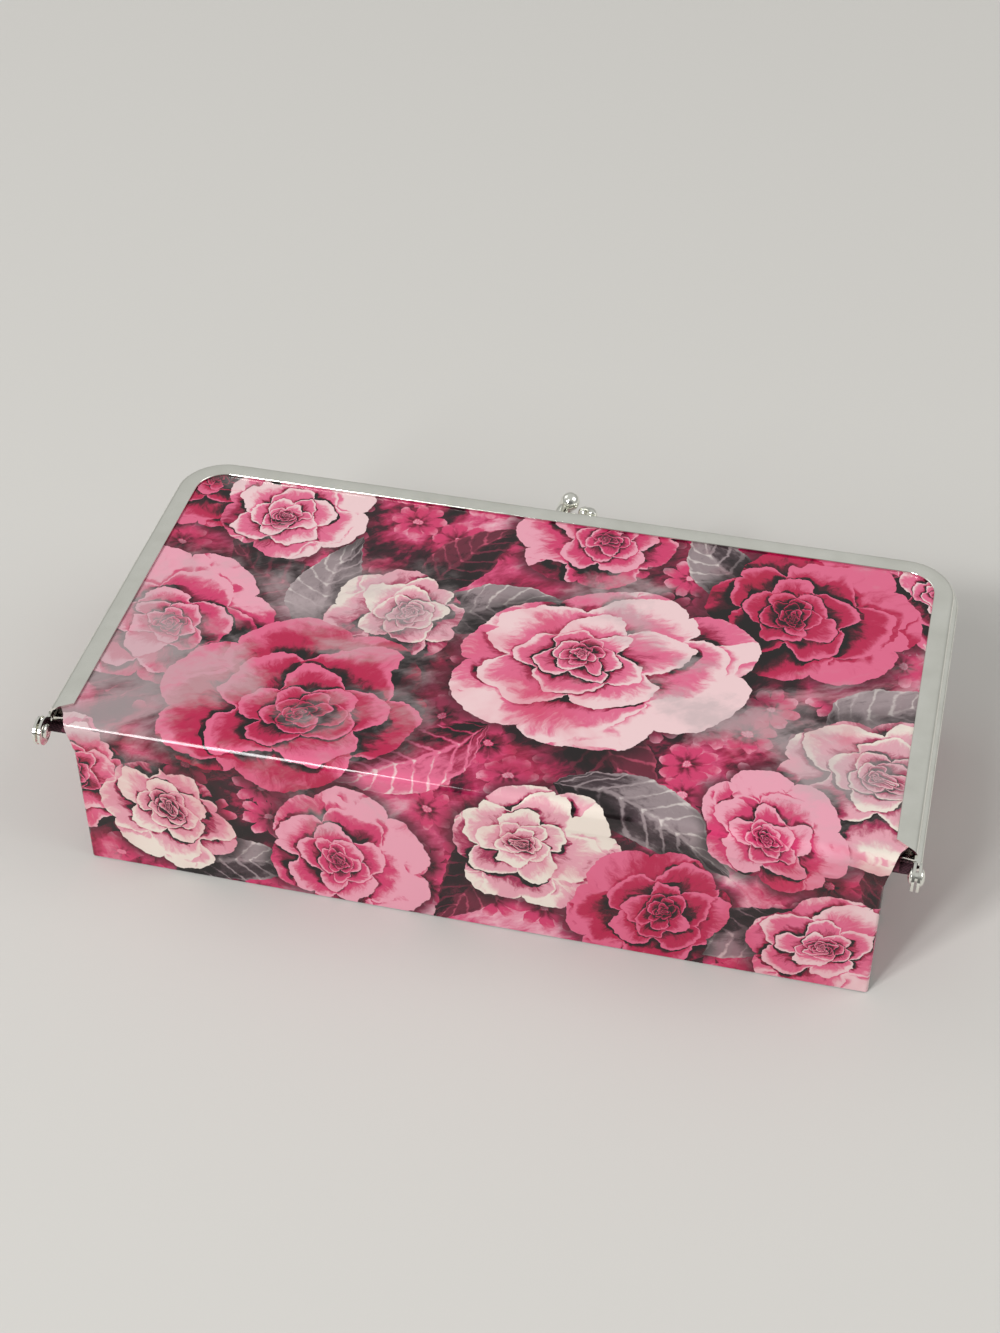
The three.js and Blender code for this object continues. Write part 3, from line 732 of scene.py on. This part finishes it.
PATENT = printed_patent()
METAL = polished_metal()
LINING = suede("lining_suede", "#4d1a2b", "#7d3049")
PADDING = suede("padding_suede", "#5b2033", "#8e3b55")
BOARD = pressed_paper("greyboard", "#6f675e", "#a39a8d", (900.0, 5.0, 0.7), 0.05 * MM)
# The paper cord is painted near black brown, far darker than its own tan, as painted shade for the dark
# channel ends where the cord shows.
CORD_PAPER_IN_PAINTED_SHADE = pressed_paper("cord_paper_painted_shade", "#2c2420", "#4d4139", (700.0, 4.0, 0.6, 2.0))
BASE = grained_base()
BACKING = backing_cloth()


# Printed sheet over the lid, round the crease and down the back

FOLD = 2.5 * MM
SHEET_CORNER = 11.0 * MM
SHEET_WRAP = 1.8 * MM
WRAP_BEND = 0.8 * MM
WRAP_TOP = LID_TOP - 8.0 * MM
# Rows of points, in mm: inward on the lid or down the back, and half the width there
LID_ROWS = [(2.6, 95.1), (3.2, 95.4), (4.4, 96.2), (6.4, 97.4)]
WALL_ROWS = [(2.6, 94.0), (3.2, 93.85), (4.2, 93.6), (5.4, 93.25), (6.8, 92.95), (8.4, 92.8)]
CREASE_HALF, HEM_HALF = 94.4, 92.8


def thicken_sheet(piece):
    """Gives a sheet its thickness, with backing cloth inside, and returns the area of its face."""
    area = face_area(piece)
    dress(piece, PATENT)
    piece.data.materials.append(BACKING)
    use(piece, "SOLIDIFY", thickness=COVER, offset=-1.0, use_even_offset=True, material_offset=1,
        material_offset_rim=1)
    return area


def printed_sheet():
    piece = begin_block("printed_sheet", bpy.ops.mesh.primitive_plane_add,
                        (2 * LID_REACH_X, LID_REACH_Y - BACK, 1), (0, (LID_REACH_Y + BACK) / 2, LID_TOP))
    pick(piece, lambda co: near(co.y, BACK), "EDGE")
    push((0, 0, HEM - LID_TOP))
    for inward, _ in LID_ROWS:
        cut_row((0, BACK + inward * MM, 0), (0, 1, 0))
    for down, _ in WALL_ROWS:
        cut_row((0, 0, LID_TOP - down * MM), (0, 0, 1))
    places = [(BACK + inward * MM, LID_TOP, half) for inward, half in LID_ROWS]
    places += [(BACK, LID_TOP - down * MM, half) for down, half in WALL_ROWS]
    places += [(BACK, LID_TOP, CREASE_HALF), (BACK, HEM, HEM_HALF)]
    for y, z, half in places:
        pick(piece, lambda co: near(abs(co.x), LID_REACH_X) and near(co.y, y) and near(co.z, z))
        bpy.ops.transform.resize(value=(half * MM / LID_REACH_X, 1, 1), center_override=(0, y, z))

    pick(piece, lambda co: near(co.y, BACK) and near(co.z, LID_TOP), "EDGE")
    round_off(FOLD, 10)
    pick(piece, lambda co: near(abs(co.x), LID_REACH_X) and near(co.y, LID_REACH_Y))
    round_off(SHEET_CORNER, 10, "VERTICES")

    # The sheet turns a little way round the upright corners of the box
    def pick_corner():
        pick(piece, lambda co: near(abs(co.x), HALF_WIDTH) and near(co.y, BACK) and co.z < WRAP_TOP, "EDGE",
             lambda a, b: near(a.x, b.x))

    pick_corner()
    push((0, SHEET_WRAP, 0))
    pick_corner()
    round_off(WRAP_BEND, 4)
    face_out()
    end_edit()
    if max(piece.data.polygons, key=lambda face: face.area).normal.z < 0:
        piece.data.flip_normals()

    layer = print_layer(piece)
    length = FOLD * math.pi / 2
    centre_y, centre_z = BACK + FOLD, LID_TOP - FOLD
    for loop in piece.data.loops:
        co = piece.data.vertices[loop.vertex_index].co
        if co.y > centre_y and co.z > LID_TOP - 0.1 * MM:
            up = co.y - centre_y + length / 2
        elif co.z < centre_z:
            up = co.z - centre_z - length / 2
        else:
            up = (math.atan2(co.z - centre_z, centre_y - co.y) / (math.pi / 2) - 0.5) * length
        wrap = max(0.0, co.y - BACK) if co.z < WRAP_TOP else 0.0
        layer.data[loop.index].uv = (co.x + math.copysign(wrap, co.x), up)
    area = thicken_sheet(piece)
    smooth(piece, 40)
    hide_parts("lid_cover", "cover_fold", "back_cover")
    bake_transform(piece)


printed_sheet()


# Sheet round the other three walls, its lip turned out into the lower channel

LIP_BEND = 1.2 * MM
WALL_START = BACK + 1.2 * MM
# Where the print on the walls starts, across and up
PRINT_START = (0.013, 0.03)


def three_sided(name, outline, first_y, closed, steps=14):
    """Carries an outline of (out from the wall, height) from the back on the left to mid front."""
    points = [(-HALF_WIDTH - out, first_y, up) for out, up in outline]
    piece = line_of_points(name, points, closed)
    corner_y = FRONT - CORNER
    push((0, corner_y - first_y, 0))
    bpy.ops.mesh.spin(steps=steps, angle=math.pi / 2, axis=(0, 0, 1),
                      center=(-HALF_WIDTH + CORNER, corner_y, 0))
    push((HALF_WIDTH - CORNER, 0, 0))
    select_all()
    bpy.ops.mesh.remove_doubles(threshold=WELD)
    return piece


def mirrored(piece):
    end_edit()
    use(piece, "MIRROR", use_axis=(True, False, False), use_clip=True, merge_threshold=0.01 * MM)
    begin_edit(piece)
    face_out()
    end_edit()


def wall_sheet():
    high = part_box("wall_cover")[1]
    lip = high.z - COVER
    reach = high.x - HALF_WIDTH
    outline = [(0, HEM), (0, 10 * MM), (0, 20 * MM), (0, 30 * MM)]
    outline += arc(LIP_BEND, lip - LIP_BEND, LIP_BEND, 180, 90, 6)
    outline += [(reach, lip)]
    piece = three_sided("wall_sheet", outline, WALL_START, False)
    mirrored(piece)
    side = [face for face in piece.data.polygons if near(face.center.x, -HALF_WIDTH, 0.1 * MM)]
    if side and side[0].normal.x > 0:
        piece.data.flip_normals()
    layer = print_layer(piece)
    corner_y = FRONT - CORNER
    corner_x = HALF_WIDTH - CORNER
    quarter = CORNER * math.pi / 2
    for loop in piece.data.loops:
        co = piece.data.vertices[loop.vertex_index].co
        if co.y < corner_y:
            along = corner_x + quarter + corner_y - co.y
        elif abs(co.x) > corner_x:
            along = corner_x + CORNER * math.atan2(abs(co.x) - corner_x, co.y - corner_y)
        else:
            along = abs(co.x)
        layer.data[loop.index].uv = (PRINT_START[0] - math.copysign(along, co.x), co.z - PRINT_START[1])
    area = thicken_sheet(piece)
    smooth(piece, 40)
    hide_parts("wall_cover")
    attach(piece, "case")


wall_sheet()


# Frame halves

# Foot and top of each channel
CHANNELS = {"lid_frame": (41.2 * MM, 44.0 * MM), "body_frame": (38.1 * MM, 40.9 * MM)}
WIDE_BEND, TIGHT_BEND = 1.2 * MM, 0.7 * MM
# End of the rail behind the ears: how far it stands from the back at its inner and its outer edge
RAIL_END_INNER, RAIL_END_OUTER = BACK + 3.4 * MM, BACK + 2.9 * MM
# The flange is cut away behind a line from here, and it rises this far over its width
FLANGE_CUT, FLANGE_SLANT = BACK + 6.2 * MM, 3.3 * MM
CUT_OVER = 4 * MM
CUT_BEHIND = BACK - 20 * MM
EAR_RADIUS = 3.3 * MM
NECK_LENGTH = 7 * MM


def finish_metal(piece, node, body, degrees):
    smooth(piece, degrees)
    dress(piece, METAL)
    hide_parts(node)
    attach(piece, body)


def channel_outline(outer, top_bend, bottom_bend, low, high):
    """Section of a pressed channel, as (out from the wall, height), with rounded rims."""
    t = FRAME_SHEET
    edge = t / 2
    outline = arc(FLANGE + edge, high - edge, edge, 270, 90, 5)
    outline += arc(outer - top_bend, high - top_bend, top_bend, 90, 0, 6)
    outline += arc(outer - bottom_bend, low + bottom_bend, bottom_bend, 0, -90, 5)
    outline += arc(FLANGE + edge, low + edge, edge, 270, 90, 5)
    outline += arc(outer - bottom_bend, low + bottom_bend, bottom_bend - t, -90, 0, 5)
    outline += arc(outer - top_bend, high - top_bend, top_bend - t, 0, 90, 6)
    return outline


def ear_plate(name, outer_face, low, high):
    """Round ear with a neck, standing beside the end of the frame on the left."""
    middle = -outer_face + FRAME_SHEET / 2
    piece = begin_piece(name, bpy.ops.mesh.primitive_cylinder_add, vertices=64, radius=EAR_RADIUS,
                        depth=FRAME_SHEET)
    begin_edit(piece)
    select_all()
    bpy.ops.transform.rotate(value=math.pi / 2, orient_axis="Y", center_override=(0, 0, 0))
    bpy.ops.transform.translate(value=(middle, RIVET_Y, RIVET_Z))
    end_edit()
    neck = begin_block(name + "_neck", bpy.ops.mesh.primitive_cube_add,
                       (FRAME_SHEET, NECK_LENGTH, high - low),
                       (middle, RIVET_Y + NECK_LENGTH / 2, (low + high) / 2))
    end_edit()
    weld(piece, neck)
    return piece


def flange_cutter(name, outer, low, high, cuts_top):
    """Block that takes the outer flange away behind a slanting line, at both ends of a rail."""
    inner_x, outer_x = -HALF_WIDTH - FLANGE, -HALF_WIDTH - outer
    slope = FLANGE_SLANT / (outer_x - inner_x)
    near_x, far_x = inner_x + CUT_OVER, outer_x - CUT_OVER
    rows = [FLANGE_CUT - slope * (x - inner_x) for x in (near_x, far_x)]
    if cuts_top:
        foot, head = low + 2 * FRAME_SHEET, high + FRAME_SHEET
    else:
        foot, head = low - FRAME_SHEET, high - 2 * FRAME_SHEET
    corners = [(near_x, CUT_BEHIND, foot), (near_x, rows[0], foot), (far_x, rows[1], foot),
               (far_x, CUT_BEHIND, foot)]
    piece = line_of_points(name, corners, closed=True)
    bpy.ops.mesh.edge_face_add()
    push((0, 0, head - foot))
    face_out()
    end_edit()
    use(piece, "MIRROR", use_axis=(True, False, False))
    return piece


def weld(piece, other):
    use(piece, "BOOLEAN", operation="UNION", object=other, solver="EXACT")
    bpy.data.objects.remove(other)


def frame_rail(name, node, top_bend, bottom_bend, body):
    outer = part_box(node)[1].x - HALF_WIDTH
    low, high = CHANNELS[node]
    outline = channel_outline(outer, top_bend, bottom_bend, low, high)
    piece = three_sided(name, outline, BACK, True, steps=20)
    end_edit()
    begin_edit(piece)
    inner_point = Vector((-HALF_WIDTH - FLANGE, RAIL_END_INNER, 0))
    outer_point = Vector((-HALF_WIDTH - outer, RAIL_END_OUTER, 0))
    run = (outer_point - inner_point).normalized()
    select_all()
    bpy.ops.mesh.bisect(plane_co=inner_point, plane_no=(-run.y, run.x, 0), use_fill=True, clear_outer=True)
    mirrored(piece)
    cutter = flange_cutter(name + "_cut", outer, low, high, node == "lid_frame")
    use(piece, "BOOLEAN", operation="DIFFERENCE", object=cutter, solver="EXACT")
    bpy.data.objects.remove(cutter)
    ear = ear_plate(name + "_ear", HALF_WIDTH + outer, low + bottom_bend, high - top_bend)
    use(ear, "MIRROR", use_axis=(True, False, False))
    weld(piece, ear)
    finish_metal(piece, node, body, 38)


frame_rail("lid_rail", "lid_frame", WIDE_BEND, TIGHT_BEND, "lid")
frame_rail("body_rail", "body_frame", TIGHT_BEND, WIDE_BEND, "case")


# Hinge rivets and clasp

RIVET_SHAFT = 1.0 * MM
RIVET_DOME = 0.85 * MM
INNER_HEAD, OUTER_HEAD = 1.7 * MM, 1.9 * MM


def hinge_rivet(name, node, side):
    """Turned rivet with a domed head on each side of the ears."""
    low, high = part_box(node)
    inner, outer = sorted((abs(low.x), abs(high.x)))
    start, stop = inner + RIVET_DOME, outer - RIVET_DOME
    rise = [(RIVET_DOME * math.cos(math.radians(a)), math.sin(math.radians(a))) for a in range(0, 91, 15)]
    outline = [(start - deep, INNER_HEAD * out) for deep, out in rise]
    outline += [(start, RIVET_SHAFT), (stop, RIVET_SHAFT)]
    outline += [(stop + deep, OUTER_HEAD * out) for deep, out in reversed(rise)]
    piece = line_of_points(name, [(side * x, RIVET_Y, RIVET_Z + radius) for x, radius in outline])
    bpy.ops.mesh.spin(steps=36, angle=math.tau, center=(0, RIVET_Y, RIVET_Z), axis=(1, 0, 0))
    select_all()
    bpy.ops.mesh.remove_doubles(threshold=WELD)
    bpy.ops.mesh.normals_make_consistent(inside=False)
    end_edit()
    finish_metal(piece, node, "case", 40)


hinge_rivet("rivet_left", "hinge_rivet_left", -1)
hinge_rivet("rivet_right", "hinge_rivet_right", 1)

CLASP_FOOT = 1.5 * MM
FOOT_FLAT = 0.3
FOOT_SINK = 0.4 * MM
BODY_BALL, LID_BALL = 2.4 * MM, 1.7 * MM
BALL_ASIDE = 2.4 * MM
FINGER_BEND = 0.6 * MM
# Half thickness of a finger at its foot, and how much thinner than the ball it ends, in mm
FINGER_ROOT, FINGER_TIP = 1.4, 0.2


def clasp_finger(name, node, body, ball_radius, ball, foot):
    """Bent finger that swells from its foot on the rail to a ball at its tip."""
    bend = Vector((foot.x, ball.y - FINGER_BEND, foot.z))
    bpy.ops.object.select_all(action="DESELECT")
    bpy.ops.curve.primitive_bezier_curve_add()
    piece = bpy.context.object
    piece.name = name
    piece.data.bevel_depth = MM
    piece.data.bevel_resolution = 8
    piece.data.resolution_u = 20
    piece.data.use_fill_caps = True
    radii = (FINGER_ROOT, ball_radius / MM - FINGER_TIP)
    for point, place, radius in zip(piece.data.splines[0].bezier_points, (foot, ball), radii):
        point.handle_left_type = point.handle_right_type = "FREE"
        point.co = place
        inward = place + (bend - place) * 2 / 3
        point.handle_right = inward if place is foot else place * 2 - inward
        point.handle_left = inward if place is ball else place * 2 - inward
        point.radius = radius
    bpy.ops.object.convert(target="MESH")
    piece = bpy.context.object
    for place, radius in ((ball, ball_radius), (foot, CLASP_FOOT)):
        other = begin_piece(name + "_end", bpy.ops.mesh.primitive_uv_sphere_add, segments=36, ring_count=24,
                            radius=radius)
        begin_edit(other)
        select_all()
        if place is foot:
            bpy.ops.transform.resize(value=(1, FOOT_FLAT, 1))
        bpy.ops.transform.translate(value=place)
        end_edit()
        weld(piece, other)
    finish_metal(piece, node, body, 45)


def clasp():
    low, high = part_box("body_clasp")
    ball = Vector((high.x - BODY_BALL, high.y - BODY_BALL, high.z - BODY_BALL))
    foot = Vector((ball.x - BALL_ASIDE, low.y + FOOT_SINK, low.z + CLASP_FOOT))
    clasp_finger("body_finger", "body_clasp", "case", BODY_BALL, ball, foot)
    low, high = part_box("lid_clasp")
    ball = Vector((low.x + LID_BALL, high.y - LID_BALL, low.z + LID_BALL))
    foot = Vector((ball.x + BALL_ASIDE, low.y + FOOT_SINK, high.z - CLASP_FOOT))
    clasp_finger("lid_finger", "lid_clasp", "lid", LID_BALL, ball, foot)


clasp()


# Lining of the box: floor, walls and a lip rolled out over the rim

def face_up(piece):
    """Turns the faces so that the widest one looks up."""
    begin_edit(piece)
    face_out()
    end_edit()
    widest = max(piece.data.polygons, key=lambda face: face.area * abs(face.normal.z))
    if widest.normal.z < 0:
        piece.data.flip_normals()


LINING_SHEET = 0.6 * MM
TRAY_X, TRAY_Y = 89.3 * MM, 44.6 * MM
TRAY_CORNER, TRAY_FLOOR_BEND, TRAY_LIP_BEND = 2.4 * MM, 1.2 * MM, 0.9 * MM
LID_LINING_CORNER, LID_LINING_EDGE = 6.8 * MM, 0.2 * MM


def lining_tray():
    low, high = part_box("body_lining")
    floor = low.z + LINING_SHEET
    piece = begin_block("lining_tray", bpy.ops.mesh.primitive_cube_add,
                        (2 * TRAY_X, 2 * TRAY_Y, high.z - floor), (0, 0, (high.z + floor) / 2))
    pick(piece, lambda co: near(co.z, high.z), "FACE")
    bpy.ops.mesh.delete(type="ONLY_FACE")
    pick(piece, lambda co: near(co.z, high.z), "EDGE")
    push((0, 0, 0))
    bpy.ops.transform.resize(value=(high.x / TRAY_X, (high.y - low.y) / (2 * TRAY_Y), 1),
                             center_override=(0, 0, 0))
    bpy.ops.transform.translate(value=(0, (high.y + low.y) / 2, 0))
    pick(piece, lambda co: near(abs(co.x), TRAY_X) and near(abs(co.y), TRAY_Y), "EDGE", runs_along(2))
    round_off(TRAY_CORNER, 5)
    pick(piece, lambda co: near(co.z, floor), "EDGE")
    round_off(TRAY_FLOOR_BEND, 3)
    rim_x, rim_y = TRAY_X + 0.05 * MM, TRAY_Y + 0.05 * MM
    pick(piece, lambda co: near(co.z, high.z) and abs(co.x) < rim_x and abs(co.y) < rim_y, "EDGE")
    round_off(TRAY_LIP_BEND, 4)
    end_edit()
    face_up(piece)
    use(piece, "SOLIDIFY", thickness=LINING_SHEET, offset=-1.0, use_even_offset=True)
    smooth(piece, 50)
    dress(piece, LINING)
    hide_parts("body_lining")
    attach(piece, "case")


lining_tray()


def lid_lining_sheet():
    low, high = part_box("lid_lining")
    piece = begin_block("lid_lining_sheet", bpy.ops.mesh.primitive_plane_add,
                        (high.x - low.x, high.y - low.y, 1), (0, (low.y + high.y) / 2, high.z))
    pick(piece, lambda co: near(co.y, high.y))
    round_off(LID_LINING_CORNER, 8, "VERTICES")
    end_edit()
    face_up(piece)
    use(piece, "SOLIDIFY", thickness=high.z - low.z, offset=-1.0)
    use(piece, "BEVEL", width=LID_LINING_EDGE, segments=2, limit_method="ANGLE",
        angle_limit=math.radians(60))
    smooth(piece, 40)
    dress(piece, LINING)
    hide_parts("lid_lining")
    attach(piece, "lid")


lid_lining_sheet()


# Padded pieces

PUFF_STEPS = 16
# How far the cushions start inside their solids, in mm, before they are blown up
LID_INSET_LOW, LID_INSET_HIGH = Vector((0.8, 0.8, 0.7)), Vector((0.8, 0.8, 0.1))
LID_SWELL = Vector((0, 0, 0.6))
RING_INSET = Vector((0.6, 0.5, 0.5))


def rounded_block(name, low, high, rounds):
    """Block between two corners, with each (test, radius) set of its edges rounded."""
    piece = begin_block(name, bpy.ops.mesh.primitive_cube_add, high - low, (low + high) / 2)
    for pair, radius in rounds:
        pick(piece, lambda co: True, "EDGE", pair)
        round_off(radius, 5)
    end_edit()
    return piece


def puff(piece, voxel, cap, low, high):
    """Blows the piece up as stuffed cloth, no further than the cap, and flat against its neighbours."""
    use(piece, "REMESH", mode="VOXEL", voxel_size=voxel)
    rest = [point.co.copy() for point in piece.data.vertices]
    bpy.context.view_layer.objects.active = piece
    modifier = piece.modifiers.new("cloth", "CLOTH")
    cloth = modifier.settings
    cloth.quality = 6
    cloth.mass = 0.15
    cloth.tension_stiffness = cloth.compression_stiffness = 12
    cloth.bending_stiffness = 0.6
    cloth.use_pressure = True
    cloth.uniform_pressure_force = 4.0
    cloth.effector_weights.gravity = 0.0
    modifier.point_cache.frame_start = 1
    modifier.point_cache.frame_end = PUFF_STEPS
    for step in range(PUFF_STEPS):
        bpy.context.scene.frame_set(step + 1)
    bpy.ops.object.modifier_apply(modifier=modifier.name)
    bpy.context.scene.frame_set(1)
    for point, start in zip(piece.data.vertices, rest):
        move = point.co - start
        if move.length > cap:
            point.co = start + move * (cap / move.length)
    for point in piece.data.vertices:
        point.co = [min(max(value, a), b) for value, a, b in zip(point.co, low, high)]
    use(piece, "SUBSURF", levels=1, render_levels=1)
    smooth(piece, 180)


def soft_piece(piece, node, body, material):
    dress(piece, material)
    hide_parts(node)
    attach(piece, body)


def lid_cushion():
    low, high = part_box("lid_pad")
    piece = rounded_block("lid_cushion", low + LID_INSET_LOW * MM, high - LID_INSET_HIGH * MM,
                          [(runs_along(2), 3.0 * MM)])
    puff(piece, 1.3 * MM, 0.9 * MM, low - LID_SWELL * MM, high)
    soft_piece(piece, "lid_pad", "lid", PADDING)


def ring_cushion(name, node):
    low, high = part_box(node)
    start_low, start_high = low + RING_INSET * MM, high - RING_INSET * MM
    rounds = [(runs_along(0, start_high.z), (high.y - low.y) * 0.42),
              (runs_along(0, start_low.z), 2.0 * MM)]
    piece = rounded_block(name, start_low, start_high, rounds)
    puff(piece, 1.4 * MM, 0.7 * MM, low, high)
    soft_piece(piece, node, "case", PADDING)


def padded_divider(name, node, axis):
    low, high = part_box(node)
    thick = min(high.x - low.x, high.y - low.y)
    piece = rounded_block(name, low, high, [(runs_along(axis, high.z), thick * 0.48)])
    smooth(piece, 50)
    soft_piece(piece, node, "case", LINING)


lid_cushion()
for place in ("back", "middle", "front"):
    ring_cushion("ring_cushion_" + place, "ring_roll_" + place)
padded_divider("long_wall", "long_divider", 0)
padded_divider("cross_wall", "cross_divider", 1)


# Materials of the solids that keep their own shape
dress(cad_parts["base_cover"], BASE)
for side in ("base", "back", "front", "left", "right", "lid"):
    dress(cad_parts[side + "_board"], BOARD)
# The cords get the dark paper whose colour is painted shade of the channel ends.
for half in ("lid", "body"):
    dress(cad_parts[half + "_cord"], CORD_PAPER_IN_PAINTED_SHADE)


# Floor, light and camera

def pale_floor():
    piece = begin_piece("pale_floor", bpy.ops.mesh.primitive_plane_add, size=16)
    material, _, shader = new_material("pale_floor")
    look(shader, Base_Color=linear("#c6c4c0"), Roughness=0.9)
    dress(piece, material)


def soft_room():
    """Room with a light ceiling, and a darker patch of wall behind the camera."""
    world = bpy.data.worlds.new("soft_room")
    bpy.context.scene.world = world
    world.use_nodes = True
    tree = world.node_tree
    back = tree.nodes["Background"]
    back.inputs["Color"].default_value = linear("#f1f1ee")
    direction = tree.nodes.new("ShaderNodeTexCoord").outputs["Generated"]
    rise = split(direction)[2]
    ceiling = ease(rise, 0.0, 0.75, 0.42, 0.62)
    behind = vector_calc("DOT_PRODUCT", direction, (0.2, -0.93, 0.3))
    dark = times(ease(behind, 0.7, 0.97, 0.0, 0.65), ease(rise, 0.02, 0.12))
    feed(back.inputs["Strength"], times(ceiling, minus(1.0, dark)))


LAMP_AIM = Vector((0, 0, 0.03))


def lamp(name, place, wide, tall, watts):
    """Area lamp that looks at the middle of the box."""
    bpy.ops.object.light_add(type="AREA", location=place)
    light = bpy.context.object
    light.name = name
    light.data.shape = "RECTANGLE"
    light.data.size = wide
    light.data.size_y = tall
    light.data.energy = watts
    light.rotation_euler = (LAMP_AIM - Vector(place)).to_track_quat("-Z", "Y").to_euler()


def photo_camera():
    """Camera at the place, turn and focal length that the straight edges in the photograph give."""
    yaw, pitch, roll = -0.2430, 0.7272, -0.0084
    focal, picture = 2255.4, 1333.0
    sensor = 36.0
    ahead = Vector((math.sin(yaw) * math.cos(pitch), math.cos(yaw) * math.cos(pitch), -math.sin(pitch)))
    right = ahead.cross(Vector((0, 0, 1))).normalized()
    up = right.cross(ahead)
    side = math.cos(roll) * right + math.sin(roll) * up
    top = -math.sin(roll) * right + math.cos(roll) * up
    data = bpy.data.cameras.new("photo_camera")
    data.sensor_width = sensor
    data.lens = focal * sensor / picture
    data.clip_start, data.clip_end = 0.01, 50.0
    camera = bpy.data.objects.new("photo_camera", data)
    bpy.context.collection.objects.link(camera)
    turn = Matrix((side, top, -ahead)).transposed().to_4x4()
    camera.matrix_world = Matrix.Translation(Vector((92.49, -387.90, 392.82)) * MM) @ turn
    bpy.context.scene.camera = camera


pale_floor()
soft_room()
lamp("key", (-1.36, -1.92, 1.755), 0.42, 0.42, 34.0)
lamp("crease_strip", (-0.9, -2.17, 1.75), 0.3, 1.8, 34.0)
lamp("left_fill", (-2.2, 0.8, 2.0), 1.7, 1.7, 7.0)
lamp("right_fill", (2.2, 0.2, 2.2), 2.0, 2.0, 22.0)
photo_camera()
bpy.context.scene.view_settings.view_transform = "Standard"
